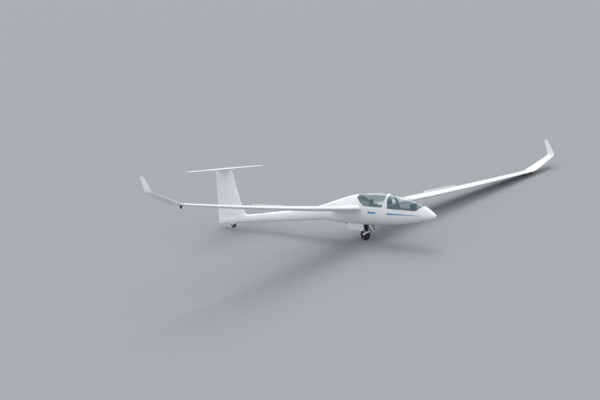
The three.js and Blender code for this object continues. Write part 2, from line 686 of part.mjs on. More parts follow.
// The notch in the elevator's middle, in which the rudder swings: [station, half width]
const ELEVATOR_NOTCH = [[8408, 34], [8640, 172]];
function elevatorNotch() {
  const [[front, narrow], [rear, wide]] = ELEVATOR_NOTCH;
  const corners = [[front, -narrow], [front, narrow], [rear, wide], [rear, -wide]];
  return loft([1500, 1800].map((z) => corners.map(([station, y]) => at(station, y, z))));
}

function elevator() {
  return without(loft(elevatorRings(ELEVATOR.half, flapRing)),
    [elevatorNotch(), ...elevatorBrackets().map(({ slot }) => slot)]);
}

function tailBoom() {
  const cove = loft(rudderRings([-200, 0, 929], coveRing));
  const boom = hull.intersect(slabBetween(BOOM_START + SEAT_GAP, 9000, -BEYOND, BEYOND, BEYOND));
  return without(boom, [cove, tailWell()]).add(rudderBrackets()[0].block);
}

// The light fairing round the tail wheel's slot, with the two cheeks that carry its axle
function tailFairing() {
  // Columns: station, half width, bottom
  const sections = [
    [7852, 18, -36], [7876, 45, -46], [7920, 50, -58], [7990, 51, -60], [8080, 47, -54], [8172, 16, -38],
  ];
  const rings = sections.map(([station, halfWidth, bottom]) => {
    const half = [[1, 20], [1, 0.5 * bottom], [0.8, 0.9 * bottom], [0.35, bottom]];
    const port = half.map(([part, z]) => at(station, part * halfWidth, z));
    const starboard = half.map(([part, z]) => at(station, -part * halfWidth, z)).reverse();
    return [...port, ...starboard];
  });
  const cheek = (side) => slabBetween(7966, 8010, -96, 10, 4, side * (TAIL_WELL.halfWidth + 4));
  return without(union([loft(rings), cheek(1), cheek(-1)]), [tailWell(), hullForm(SEAT_GAP, 6200),
    bar(at(TAIL_WHEEL.station, -80, TAIL_WHEEL.z), at(TAIL_WHEEL.station, 80, TAIL_WHEEL.z), 8 + SEAT_GAP)]);
}

// Wheels

const WHEEL_SEGMENTS = { main: 40, rim: 24, tail: 30, tip: 20 };

// A tyre section: round outside, flat against the rim
function tyreProfile(wheel, bead, steps) {
  const middle = wheel.radius - wheel.half;
  const opening = Math.acos((bead - middle) / wheel.half);
  return Array.from({ length: steps + 1 }, (_, k) => {
    const turn = -opening + 2 * opening * k / steps;
    return [middle + wheel.half * Math.cos(turn), wheel.half * Math.sin(turn)];
  });
}

// Columns: radius, distance from the wheel's middle plane
const RIM_BEAD = 72;
const rimProfile = () => {
  const half = [[MAIN_WHEEL.bore, 62], [30, 62], [30, 20], [58, 20], [58, 48], [RIM_BEAD - SEAT_GAP, 48]];
  return [...half.map(([r, y]) => [r, -y]), ...half.reverse()];
};
function smallWheelProfile(wheel) {
  const bead = wheel.radius - 1.75 * wheel.half;
  const hub = 0.62 * wheel.half;
  return [...tyreProfile(wheel, bead, 6), [bead, hub], [wheel.bore, hub], [wheel.bore, -hub], [bead, -hub]];
}

const axleThrough = (wheel, half, radius) =>
  bar(at(wheel.station, wheel.y - half, wheel.z), at(wheel.station, wheel.y + half, wheel.z), radius, 20);

// Landing gear

// Points of the leg frame, [station, distance from the middle, height], and the radii of its tubes
const LEG = {
  top: [2690, 118, -30],
  foot: [2490, 110, -400],
  back: [2880, 118, -30],
  elbow: [2880, 126, -30],
  knee: [2555, 122, -290],
};
const LEG_TUBE = { leg: 14, beam: 12, brace: 8, frontCross: 16, rearCross: 14 };
const LEG_BOSS = { radius: 20, inner: 94, outer: 119 };
const onSide = ([station, y, z], side) => at(station, side * y, z);

function gearLegs() {
  const crossReach = WELL.halfWidth - SEAT_GAP;
  const across = ([station, , z], radius) =>
    bar(at(station, -crossReach, z), at(station, crossReach, z), radius);
  const [footStation, , footHeight] = LEG.foot;
  const bossEnd = (y) => at(footStation, y, footHeight);
  const sides = [1, -1].flatMap((side) => [
    bar(onSide(LEG.top, side), onSide(LEG.foot, side), LEG_TUBE.leg),
    bar(onSide(LEG.top, side), onSide(LEG.back, side), LEG_TUBE.beam),
    bar(onSide(LEG.elbow, side), onSide(LEG.knee, side), LEG_TUBE.brace),
    bar(bossEnd(side * LEG_BOSS.inner), bossEnd(side * LEG_BOSS.outer), LEG_BOSS.radius),
  ]);
  return union([across(LEG.top, LEG_TUBE.frontCross), across(LEG.back, LEG_TUBE.rearCross), ...sides]);
}

// The trailing fork that carries the wheel, hinged on the feet of the legs
const ARM = { inner: 80, outer: 93, pivotTube: 17 };
const ARM_OUTLINE = [
  [2446, -404], [2452, -376], [2512, -370], [2640, -388], [2780, -436], [2826, -458], [2838, -487],
  [2826, -512], [2802, -522], [2776, -512], [2640, -432], [2512, -420], [2462, -420],
];
function swingArm() {
  const arm = (side) => sidePrism(ARM_OUTLINE,
    Math.min(side * ARM.inner, side * ARM.outer), Math.max(side * ARM.inner, side * ARM.outer));
  const tubeEnd = (side) => at(LEG.foot[0], side * (ARM.outer + 0.4), LEG.foot[2]);
  return union([arm(1), arm(-1), bar(tubeEnd(-1), tubeEnd(1), ARM.pivotTube)]);
}

// A strut from the leg frame's beam down to an eye on the arm: a thick upper tube and a thin lower one
const STRUT = { top: [2800, 102, -42], foot: [2737, 102, -446], upper: 12, lower: 8, split: 0.58, eye: 17 };
function shockStrut(side) {
  const top = onSide(STRUT.top, side);
  const foot = onSide(STRUT.foot, side);
  const split = new THREE.Vector3().lerpVectors(top, foot, STRUT.split);
  const eyeEnd = (y) => at(STRUT.foot[0] - 2, side * y, STRUT.foot[2] - 10);
  const eye = bar(eyeEnd(ARM.outer + 0.4), eyeEnd(STRUT.foot[1] + 10), STRUT.eye);
  return union([bar(top, split, STRUT.upper), bar(split.clone().lerp(top, 0.1), foot, STRUT.lower), eye]);
}

const DOOR = { inner: 122, outer: WELL.halfWidth - SEAT_GAP };
const DOOR_OUTLINE = [[2765, -152], [2765, -378], [2800, -374], [3370, -318], [3370, -112], [3200, -118]];
const gearDoor = (side) => sidePrism(DOOR_OUTLINE,
  Math.min(side * DOOR.inner, side * DOOR.outer), Math.max(side * DOOR.inner, side * DOOR.outer));

// The fork under each wing tip, let against the lower skin
function wingWheelFork(side) {
  const y = side * WING_WHEEL.y;
  const cheek = (way) => sidePrism([[3000, 960], [3060, 960], [3044, 856], [3030, 850], [3016, 856]],
    y + way * 21 - 2.5, y + way * 21 + 2.5);
  const plate = slabBetween(2975, 3085, 904, 960, 23, y).subtract(slabBetween(2980, 3080, 890, 912, 18.4, y));
  const axleEnd = (way) => at(WING_WHEEL.station, y + way * 23, WING_WHEEL.z);
  const axle = bar(axleEnd(-1), axleEnd(1), WING_WHEEL.bore - SEAT_GAP, 10);
  const roof = slabBetween(2900, 3150, 930, 1100, 60, y);
  return without(union([cheek(1), cheek(-1), plate, axle]), [
    wingPanel(side, SEAT_GAP), wingPanel(side, 12).intersect(roof), roof,
  ]);
}

// Cockpit

const linedBy = (body) => body.intersect(hullForm(-SKIN - SEAT_GAP, 110, 4040));

// Seats, in the side view from the front edge of the pan to the top of the back, [station, height]
const SEATS = {
  front: { line: [[1150, -20], [1250, -66], [1420, -84], [1560, 20], [1742, 420]], feet: [1200, 1440] },
  rear: { line: [[2110, 20], [2190, -24], [2290, -40], [2370, 50], [2488, 440]], feet: [2150, 2310] },
};
const SEAT_HALF = 215;
const SEAT_SHELL = 12;
const CUSHION = { thickness: 34, inset: 26, shorter: 0.14 };

// A side-view line moved towards the pilot, and a band of one thickness that lies on such a line
const raisedLine = (line, lift) => line.map(([station, z], k) => {
  const [beforeS, beforeZ] = line[Math.max(0, k - 1)];
  const [afterS, afterZ] = line[Math.min(line.length - 1, k + 1)];
  const length = Math.hypot(afterS - beforeS, afterZ - beforeZ);
  return [station - lift * (afterZ - beforeZ) / length, z + lift * (afterS - beforeS) / length];
});
const band = (line, thickness, half) =>
  sidePrism([...line, ...raisedLine(line, thickness).reverse()], -half, half);

function seat({ line, feet }) {
  const pan = band(line, SEAT_SHELL, SEAT_HALF);
  const legs = feet.map((station) => {
    const over = line.findIndex(([s]) => s > station);
    const [a, b] = [line[over - 1], line[over]];
    const z = a[1] + (b[1] - a[1]) * (station - a[0]) / (b[0] - a[0]);
    return slabBetween(station - 5, station + 5, -400, z + 3, SEAT_HALF - 20);
  });
  return linedBy(union([pan, ...legs]));
}

const between = (a, b, part) => a.map((value, k) => value + part * (b[k] - value));

// A cushion starts and ends a little way in from the ends of its seat
function cushion({ line }) {
  const raised = raisedLine(line, SEAT_SHELL + 1);
  const last = raised.length - 1;
  const first = between(raised[0], raised[1], CUSHION.shorter);
  const end = between(raised[last], raised[last - 1], CUSHION.shorter);
  return band([first, ...raised.slice(1, last), end], CUSHION.thickness, SEAT_HALF - CUSHION.inset);
}

// A headrest stands on the top edge of its seat back, [up along the back, out towards the pilot]
const HEADREST = [[SEAT_GAP, 1], [SEAT_GAP, 11], [40, 15], [54, 42], [150, 44], [160, 34], [160, 8], [40, 1]];
function headrest({ line }) {
  const [below, top] = line.slice(-2);
  const length = Math.hypot(top[0] - below[0], top[1] - below[1]);
  const [alongS, alongZ] = [(top[0] - below[0]) / length, (top[1] - below[1]) / length];
  const outline = HEADREST.map(([up, out]) =>
    [top[0] + up * alongS - out * alongZ, top[1] + up * alongZ + out * alongS]);
  return sidePrism(outline, -75, 75);
}

// An instrument panel on its pedestal: a wide board that faces back, and a narrow column to the floor
const PANELS = {
  front: {
    board: [[860, 160], [885, 160], [905, 395], [790, 430], [770, 400], [865, 385]],
    foot: [800, 880],
  },
  rear: {
    board: [[1878, 250], [1900, 250], [1912, 540], [1892, 540]],
    foot: [1880, 1960],
  },
};
function panel({ board, foot }) {
  const column = slabBetween(foot[0], foot[1], -400, board[0][1] + 20, 55);
  return linedBy(union([sidePrism(board, -150, 150), column]));
}

// Sticks: a bent tube with a grip, standing on a block on the floor
const STICKS = {
  front: { foot: [1080, -60], knee: [1055, 60], top: [1080, 190] },
  rear: { foot: [2040, -20], knee: [2012, 110], top: [2035, 240] },
};
function stick({ foot, knee, top }) {
  const [low, bend, high] = [foot, knee, top].map(([station, z]) => at(station, 0, z));
  const block = slabBetween(foot[0] - 25, foot[0] + 25, -400, foot[1] + 12, 22);
  const grip = bar(bend.clone().lerp(high, 0.45), high, 15);
  return linedBy(union([block, bar(low, bend, 9), bar(bend, high, 9), grip]));
}

// Tow hooks: a block let into the belly with an open hook below it
function towHook(station, belly) {
  const outline = [[-26, 34], [-26, -12], [4, -22], [16, -14], [-6, -4], [26, 8], [26, 34]];
  const hook = sidePrism(outline.map(([behind, above]) => [station + behind, belly + above]), -7, 7);
  return hook.subtract(hullForm(SEAT_GAP, 0, 4350));
}

const noseVent = () => turnedAlongX([[7, 4], [10.7, 4], [10.7, 66], [7, 66]]);
function turnedAlongX(profile) {
  const closed = [...profile, profile[0]].map(([radius, depth]) => new THREE.Vector2(radius, depth));
  const geometry = new THREE.LatheGeometry(closed, 20);
  geometry.rotateZ(Math.PI / 2);
  const body = solid(geometry);
  return body.volume() > 0 ? body : solid(turnedInsideOut(geometry));
}

// Assembly in the craft's frame

const craft = new THREE.Group();
const pivots = {};

// A joint's pivot stands on its axis, and its moving meshes hang under it. The range is in degrees, or
// millimetres for a slide, and a wheel that turns freely has none.
function pivot(name, origin, axis, range = null) {
  const group = new THREE.Group();
  group.position.copy(origin);
  craft.add(group);
  pivots[name] = { group, axis, range };
  return (meshName, body, material) => group.add(meshOf(meshName, body, material, origin));
}
const fixed = (name, body, material) => craft.add(meshOf(name, body, material));

fixed('fuselage_cockpit', cockpitShell(), GELCOAT);
fixed('fuselage_centre', centreSection(), GELCOAT);
fixed('tail_boom', tailBoom(), GELCOAT);
fixed('fin', fin(), GELCOAT);
fixed('stabiliser', stabiliser(), GELCOAT);
fixed('tail_wheel_fairing', tailFairing(), GELCOAT);
fixed('nose_vent', noseVent(), BLACK_PLASTIC);
fixed('tow_hook_nose', towHook(620, -147), DARK_METAL);
fixed('tow_hook_belly', towHook(2400, -219), DARK_METAL);
fixed('gear_leg_frame', gearLegs(), DARK_METAL);
fixed('gear_swing_arm', swingArm(), LIGHT_METAL);
fixed('main_axle', axleThrough(MAIN_WHEEL, 80 - SEAT_GAP, MAIN_WHEEL.bore - 0.5), LIGHT_METAL);
fixed('tail_axle', axleThrough(TAIL_WHEEL, 42, TAIL_WHEEL.bore - 0.5), LIGHT_METAL);

for (const [name, outline] of Object.entries(SEATS)) {
  fixed(`seat_${name}`, seat(outline), GREY_LINING);
  fixed(`cushion_${name}`, cushion(outline), CUSHION_CLOTH);
  fixed(`headrest_${name}`, headrest(outline), BLACK_PLASTIC);
  fixed(`panel_${name}`, panel(PANELS[name]), BLACK_PLASTIC);
  fixed(`stick_${name}`, stick(STICKS[name]), BLACK_PLASTIC);
}

const canopies = {
  front: canopy(FRONT_CANOPY, FRONT_GLASS, frontHinge.lugs),
  rear: canopy(REAR_CANOPY, REAR_GLASS, rearHinge.lugs),
};
for (const [name, { frame, glass }] of Object.entries(canopies)) {
  const hinge = CANOPY_HINGES[name];
  const hang = pivot(`${name}_canopy`, hinge.from, hingeAxis(hinge), [0, CANOPY_OPEN[name]]);
  hang(`${name}_canopy_frame`, frame, GELCOAT);
  hang(`${name}_canopy_glass`, glass, TINTED_GLASS);
}

for (const [label, side] of [['port', 1], ['starboard', -1]]) {
  fixed(`wing_${label}`, mainPanel(side), GELCOAT);
  fixed(`wing_tip_${label}`, ribLoft(TIP_RIBS, side), GELCOAT);
  fixed(`winglet_${label}`, ribLoft(WINGLET_RIBS, side), GELCOAT);
  fixed(`wing_wheel_fork_${label}`, wingWheelFork(side), DARK_METAL);
  fixed(`shock_strut_${label}`, shockStrut(side), LIGHT_METAL);
  fixed(`gear_door_${label}`, gearDoor(side), GELCOAT);

  const { inner: aileronEnd, axis } = aileronHinge(side);
  const hangAileron = pivot(`aileron_${label}`, aileronEnd, axis, [-AILERON.swing, AILERON.swing]);
  hangAileron(`aileron_${label}`, aileron(side), GELCOAT);
  const frame = airbrakeFrame(side);
  const hangAirbrake = pivot(`airbrake_${label}`, frame.middle, frame.slide, [-AIRBRAKE.out, AIRBRAKE.more]);
  hangAirbrake(`airbrake_${label}`, airbrakeBlade(frame), GELCOAT);
  const wheel = { ...WING_WHEEL, y: side * WING_WHEEL.y };
  const centre = at(wheel.station, wheel.y, wheel.z);
  pivot(`wing_wheel_${label}`, centre, new THREE.Vector3(0, 1, 0))(
    `wing_wheel_${label}`, turned(wheel, smallWheelProfile(wheel), WHEEL_SEGMENTS.tip), BLACK_RUBBER);
}

const wheelAxis = new THREE.Vector3(0, 1, 0);
const mainWheel = pivot('main_wheel', at(MAIN_WHEEL.station, 0, MAIN_WHEEL.z), wheelAxis);
const mainTyre = turned(MAIN_WHEEL, tyreProfile(MAIN_WHEEL, RIM_BEAD, 10), WHEEL_SEGMENTS.main);
mainWheel('main_tyre', mainTyre, BLACK_RUBBER);
mainWheel('main_rim', turned(MAIN_WHEEL, rimProfile(), WHEEL_SEGMENTS.rim), DARK_METAL);
pivot('tail_wheel', at(TAIL_WHEEL.station, 0, TAIL_WHEEL.z), wheelAxis)(
  'tail_wheel', turned(TAIL_WHEEL, smallWheelProfile(TAIL_WHEEL), WHEEL_SEGMENTS.tail), BLACK_RUBBER);
const hangRudder = pivot('rudder', rudderHinge.low, rudderHinge.axis, [-RUDDER.swing, RUDDER.swing]);
hangRudder('rudder', rudder(), GELCOAT);
const elevatorRange = [-ELEVATOR.down, ELEVATOR.up];
const hangElevator = pivot('elevator', elevatorHinge.middle, elevatorHinge.axis, elevatorRange);
hangElevator('elevator', elevator(), GELCOAT);

// Parked stance: the plane that touches three wheels from below becomes the ground

const CONTACTS = [MAIN_WHEEL, TAIL_WHEEL, WING_WHEEL];

function lowestPoint(wheel, up) {
  const across = new THREE.Vector3(up.x, 0, up.z).normalize();
  return at(wheel.station, wheel.y, wheel.z)
    .addScaledVector(across, -(wheel.radius - wheel.half)).addScaledVector(up, -wheel.half);
}

function parkedUp() {
  let up = new THREE.Vector3(0, 0, 1);
  for (let round = 0; round < 12; round += 1) {
    const [main, tail, tip] = CONTACTS.map((wheel) => lowestPoint(wheel, up));
    up = new THREE.Vector3().crossVectors(tip.sub(main), tail.sub(main)).normalize();
    if (up.z < 0) up.negate();
  }
  return up;
}

const up = parkedUp();
const ahead = new THREE.Vector3(1, 0, 0).addScaledVector(up, -up.x).normalize();
const port = new THREE.Vector3().crossVectors(up, ahead);
craft.quaternion.setFromRotationMatrix(new THREE.Matrix4().makeBasis(ahead, port, up).transpose());

const aircraft = new THREE.Group();
aircraft.add(craft);
aircraft.updateMatrixWorld(true);
const reach = new THREE.Box3().setFromObject(aircraft, true);
craft.position.set(-(reach.min.x + reach.max.x) / 2, -(reach.min.y + reach.max.y) / 2, -reach.min.z);
aircraft.userData.pivots = pivots;
aircraft.updateMatrixWorld(true);

export default aircraft;
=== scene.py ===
"""A two-seat sailplane parked on a pale floor, dressed around its packed frame.

Lengths are millimetres in the craft's own frame: a station is the distance behind the nose tip, +Y points
to port and +Z up. A piece is made there, then carried into the packed frame, in metres, by WORLD.
"""

import json
import math
from types import SimpleNamespace

import bmesh
import bpy
import numpy as np
from mathutils import Matrix, Vector

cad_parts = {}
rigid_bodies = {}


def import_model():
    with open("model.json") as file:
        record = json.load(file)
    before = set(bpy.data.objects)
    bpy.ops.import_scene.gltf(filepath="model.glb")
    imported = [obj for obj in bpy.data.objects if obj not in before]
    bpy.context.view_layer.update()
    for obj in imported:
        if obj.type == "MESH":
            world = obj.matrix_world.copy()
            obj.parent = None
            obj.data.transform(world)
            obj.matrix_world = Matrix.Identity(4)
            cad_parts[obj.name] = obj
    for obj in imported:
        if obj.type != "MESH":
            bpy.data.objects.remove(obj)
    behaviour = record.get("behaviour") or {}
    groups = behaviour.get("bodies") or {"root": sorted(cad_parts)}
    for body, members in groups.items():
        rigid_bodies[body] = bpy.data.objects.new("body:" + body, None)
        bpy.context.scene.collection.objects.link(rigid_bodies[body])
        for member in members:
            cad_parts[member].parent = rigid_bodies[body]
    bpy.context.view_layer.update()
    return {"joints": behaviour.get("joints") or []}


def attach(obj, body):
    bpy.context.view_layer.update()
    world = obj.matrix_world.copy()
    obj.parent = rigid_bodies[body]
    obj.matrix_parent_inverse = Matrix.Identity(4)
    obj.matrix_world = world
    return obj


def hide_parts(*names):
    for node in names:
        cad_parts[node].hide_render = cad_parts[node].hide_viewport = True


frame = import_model()

# Driving dimensions

SEAT_GAP = 0.3
SURFACE_GAP = 7
PARTING_GAP = 3
SKIN = 25
CANOPY_FRAME_THICKNESS = 20
GLASS_THICKNESS = 7
BEYOND = 2000
BELOW = -400

WELL = SimpleNamespace(front=2558, rear=3460, half_width=135, roof=120)
ROOT_RIB = 420
RUDDER = SimpleNamespace(bottom=-4, top=1652, hinge_low=8398, hinge_high=8416)
ELEVATOR = SimpleNamespace(half=1690, hinge=8355)
AILERON = SimpleNamespace(inner=5200, outer=8420, in_hinge=3406, out_hinge=3212)
AIRBRAKE = SimpleNamespace(inner=3490, outer=5010, chord_part=0.47, height=100, thickness=26, out=45)
MAIN_WHEEL = SimpleNamespace(station=2802, y=0, z=-487, radius=175, half=63.5, bore=12.5)
TAIL_WHEEL = SimpleNamespace(station=7988, y=0, z=-75, radius=90, half=28, bore=8.5)
WING_WHEEL = SimpleNamespace(station=3030, y=8500, z=867, radius=42, half=17, bore=4.5)

# The craft's frame, and the parked stance that carries it into the packed frame


def at(station, y, z):
    return Vector((-station, y, z))


def lowest_point(wheel, up):
    across = Vector((up.x, 0, up.z)).normalized()
    centre = at(wheel.station, wheel.y, wheel.z)
    return centre - across * (wheel.radius - wheel.half) - up * wheel.half


def parked_stance():
    """The matrix from the craft's frame in millimetres to the packed frame in metres."""
    up = Vector((0, 0, 1))
    for _ in range(12):
        main, tail, tip = [lowest_point(wheel, up) for wheel in (MAIN_WHEEL, TAIL_WHEEL, WING_WHEEL)]
        up = (tip - main).cross(tail - main).normalized()
        if up.z < 0:
            up.negate()
    ahead = (Vector((1, 0, 0)) - up * up.x).normalized()
    turn = Matrix((ahead, up.cross(ahead), up))
    axle = next(joint for joint in frame["joints"] if joint["name"] == "main_wheel_axle")
    hub = turn @ (at(MAIN_WHEEL.station, 0, MAIN_WHEEL.z) / 1000)
    return Matrix.Translation(Vector(axle["pos_m"]) - hub) @ turn.to_4x4() @ Matrix.Scale(0.001, 4)


WORLD = parked_stance()

# Solids in the craft's frame. They are made in a workshop collection that is emptied at the end.

workshop = bpy.data.collections.new("workshop")
bpy.context.scene.collection.children.link(workshop)


def body_of_mesh(mesh):
    made = bpy.data.objects.new("work", mesh)
    workshop.objects.link(made)
    return made


def solid(points, faces):
    """A closed solid with its faces turned outwards."""
    mesh = bpy.data.meshes.new("work")
    mesh.from_pydata([tuple(point) for point in points], [], faces)
    shape = bmesh.new()
    shape.from_mesh(mesh)
    bmesh.ops.recalc_face_normals(shape, faces=shape.faces)
    shape.to_mesh(mesh)
    shape.free()
    return body_of_mesh(mesh)


def loft(rings):
    """A solid through rings that all have the same number of points."""
    count = len(rings[0])
    faces = [
        (r * count + k, r * count + (k + 1) % count, (r + 1) * count + (k + 1) % count, (r + 1) * count + k)
        for r in range(len(rings) - 1)
        for k in range(count)
    ]
    last = (len(rings) - 1) * count
    faces += [tuple(range(count)), tuple(range(last, last + count))]
    return solid([point for ring in rings for point in ring], faces)


def baked(body):
    """The body with its modifiers applied, as a new body."""
    depsgraph = bpy.context.evaluated_depsgraph_get()
    return body_of_mesh(bpy.data.meshes.new_from_object(body.evaluated_get(depsgraph)))


def combined(body, others, operation):
    for other in others:
        step = body.modifiers.new("step", "BOOLEAN")
        step.solver = "MANIFOLD"
        step.operation = operation
        step.object = other
    return baked(body)


def merged(bodies):
    """Many small bodies in one mesh, where they needn't be one solid."""
    gathered = bmesh.new()
    for body in bodies:
        gathered.from_mesh(body.data)
    mesh = bpy.data.meshes.new("work")
    gathered.to_mesh(mesh)
    gathered.free()
    return body_of_mesh(mesh)


def without(body, cutters):
    return combined(body, cutters, "DIFFERENCE")


def common(body, others):
    return combined(body, others, "INTERSECT")


def union(bodies):
    return combined(bodies[0], bodies[1:], "UNION")


def bevelled(body, width, segments=3, angle=40):
    edge = body.modifiers.new("edge", "BEVEL")
    edge.width = width
    edge.segments = segments
    edge.limit_method = "ANGLE"
    edge.angle_limit = math.radians(angle)
    edge.use_clamp_overlap = True
    return baked(body)


def side_prism(outline, from_y, to_y):
    """An outline of [station, height] pairs, pushed through from one y to the other."""
    count = len(outline)
    points = [at(station, y, z) for y in (from_y, to_y) for station, z in outline]
    faces = [(k, (k + 1) % count, count + (k + 1) % count, count + k) for k in range(count)]
    faces += [tuple(range(count)), tuple(range(count, 2 * count))]
    return solid(points, faces)


def between(outline, side, inner, outer):
    """A side-view outline between two distances from the middle, on the port side or the starboard side."""
    return side_prism(outline, *sorted((side * inner, side * outer)))


def front_prism(outline, front, rear):
    """An outline of (y, height) pairs, pushed through from one station to another."""
    return loft([[at(station, y, z) for y, z in outline] for station in (front, rear)])


def slab(front, rear, low, high, half_width, y=0):
    outline = [(front, low), (rear, low), (rear, high), (front, high)]
    return side_prism(outline, y - half_width, y + half_width)


def ring_round(centre, across, upwards, radius, sides, radius_up=None):
    """A ring of points about a centre, in the plane of two directions."""
    tall = radius if radius_up is None else radius_up
    turns = [2 * math.pi * (k + 0.5) / sides for k in range(sides)]
    return [centre + across * radius * math.cos(turn) + upwards * tall * math.sin(turn) for turn in turns]


def directions_round(along):
    """Two directions at right angles to a direction, and to each other."""
    aside = Vector((0, 0, 1)) if abs(along.z) < 0.9 else Vector((1, 0, 0))
    across = along.cross(aside).normalized()
    return across, across.cross(along).normalized()


def bar(start, end, radius, sides=24, end_radius=None):
    along = (end - start).normalized()
    across, upwards = directions_round(along)
    finish_radius = radius if end_radius is None else end_radius
    return loft([
        ring_round(start, across, upwards, radius, sides),
        ring_round(end, across, upwards, finish_radius, sides),
    ])


def tube_along(path, radius, sides=16, closed=False):
    """A round tube through a list of points, or a closed hoop of tube."""
    rings = []
    count = len(path)
    for k, point in enumerate(path):
        before = path[k - 1] if closed or k else path[0]
        after = path[(k + 1) % count] if closed or k + 1 < count else path[-1]
        along = (after - before).normalized()
        across, upwards = directions_round(along)
        if rings:
            across = (last_across - along * last_across.dot(along)).normalized()
            upwards = across.cross(along)
        last_across = across
        size = radius[k] if isinstance(radius, (list, tuple)) else radius
        rings.append(ring_round(point, across, upwards, size, sides))
    if not closed:
        return loft(rings)
    points = [point for ring in rings for point in ring]
    faces = [
        (r * sides + k, r * sides + (k + 1) % sides,
         (r + 1) % count * sides + (k + 1) % sides, (r + 1) % count * sides + k)
        for r in range(count)
        for k in range(sides)
    ]
    return solid(points, faces)


def helix(start, end, radius, turns, wire, steps=16):
    """A coil of wire about the line between two points."""
    along = end - start
    across, upwards = directions_round(along.normalized())
    path = []
    for k in range(turns * steps + 1):
        turn = 2 * math.pi * k / steps
        around = across * math.cos(turn) + upwards * math.sin(turn)
        path.append(start + along * k / (turns * steps) + around * radius)
    return tube_along(path, wire, 8)


def block(centre, axes, size):
    """A box on its own three axes."""
    half = [axis * length / 2 for axis, length in zip(axes, size)]
    corners = [
        centre + half[0] * a + half[1] * b + half[2] * c
        for a in (-1, 1) for b in (-1, 1) for c in (-1, 1)
    ]
    sides = [(0, 1, 3, 2), (4, 6, 7, 5), (0, 4, 5, 1), (2, 3, 7, 6), (0, 2, 6, 4), (1, 5, 7, 3)]
    return solid(corners, sides)


def turned(profile, centre, axis, segments=64):
    """A profile of [radius, distance along the axis] pairs, turned about an axis.

    It closes on itself, or on the axis where its first and last radius are zero.
    """
    along = axis.normalized()
    across, upwards = directions_round(along)
    points = []
    starts = []
    for radius, distance in profile:
        starts.append(len(points))
        middle = centre + along * distance
        if radius < 1e-6:
            points.append(middle)
        else:
            points += ring_round(middle, across, upwards, radius, segments)
    faces = []
    pairs = list(zip(range(len(profile)), range(1, len(profile))))
    if profile[0][0] > 1e-6:
        pairs.append((len(profile) - 1, 0))
    for a, b in pairs:
        for k in range(segments):
            after = (k + 1) % segments
            corners = []
            for row, steps in ((a, (k, after)), (b, (after, k))):
                single = profile[row][0] < 1e-6
                corners += [starts[row]] if single else [starts[row] + step for step in steps]
            if len(corners) > 2:
                faces.append(tuple(corners))
    return solid(points, faces)


ACROSS = Vector((0, 1, 0))


def smooth_through(places, values):
    """A smooth curve through the rows of a table that never overshoots them, straight beyond its ends."""
    x = np.array(places, float)
    y = np.array(values, float)
    width = np.diff(x)
    slope = np.diff(y) / width
    tangent = np.zeros_like(y)
    before, after = slope[:-1], slope[1:]
    steady = before * after > 0
    weight_one = 2 * width[1:] + width[:-1]
    weight_two = width[1:] + 2 * width[:-1]
    with np.errstate(divide="ignore", invalid="ignore"):
        mean = (weight_one + weight_two) / (weight_one / before + weight_two / after)
    tangent[1:-1] = np.where(steady, mean, 0)
    tangent[0], tangent[-1] = slope[0], slope[-1]

    def value(place):
        row = np.clip(np.searchsorted(x, place, "right") - 1, 0, len(x) - 2)
        part = np.clip((place - x[row]) / width[row], 0, 1)
        one, two, three = part, part ** 2, part ** 3
        inside = (
            (2 * three - 3 * two + 1) * y[row]
            + (three - 2 * two + one) * width[row] * tangent[row]
            + (3 * two - 2 * three) * y[row + 1]
            + (three - two) * width[row] * tangent[row + 1]
        )
        past = np.minimum(place - x[0], 0) * tangent[0] + np.maximum(place - x[-1], 0) * tangent[-1]
        return inside + past

    return value


def grown(outline, by):
    """A side-view outline with every edge moved outwards."""
    points = [Vector(point) for point in outline]
    count = len(points)
    area = sum(points[k - 1].x * points[k].y - points[k].x * points[k - 1].y for k in range(count))
    turns = 1 if area > 0 else -1

    def outwards(start, end):
        return Vector((end.y - start.y, start.x - end.x)).normalized()

    made = []
    for k, point in enumerate(points):
        before = outwards(points[k - 1], point)
        after = outwards(point, points[(k + 1) % count])
        made.append(tuple(point + (before + after) * turns * by / (1 + before.dot(after))))
    return made


def curve_through(start, corner, end, part):
    """A point on the curve that leaves a start towards a corner and arrives at an end from it."""
    return start * (1 - part) ** 2 + corner * 2 * part * (1 - part) + end * part ** 2


def corner_arc(before, corner, after, radius, steps):
    """The points that round one corner of a side-view line."""
    back, ahead = before - corner, after - corner
    reach = min(radius, 0.45 * back.length, 0.45 * ahead.length)
    start, end = corner + back.normalized() * reach, corner + ahead.normalized() * reach
    return [tuple(curve_through(start, corner, end, step / steps)) for step in range(steps + 1)]


def rounded(outline, radius, steps=8):
    """A side-view outline with its corners rounded."""
    points = [Vector(point) for point in outline]
    made = []
    for k, corner in enumerate(points):
        made += corner_arc(points[k - 1], corner, points[(k + 1) % len(points)], radius, steps)
    return made


def eased(line, radius=60, steps=5):
    """An open side-view line with its corners rounded."""
    points = [Vector(point) for point in line]
    made = [tuple(points[0])]
    for before, corner, after in zip(points, points[1:], points[2:]):
        made += corner_arc(before, corner, after, radius, steps)
    return [*made, tuple(points[-1])]


def smooth_columns(table, columns):
    """Smooth curves through columns of a table, over its first column."""
    return [smooth_through([row[0] for row in table], [row[k] for row in table]) for k in columns]


def straight_columns(table, place, columns):
    """Values between the rows of a table at a place along its first column."""
    return [np.interp(place, [row[0] for row in table], [row[k] for row in table]) for k in columns]


# Fuselage

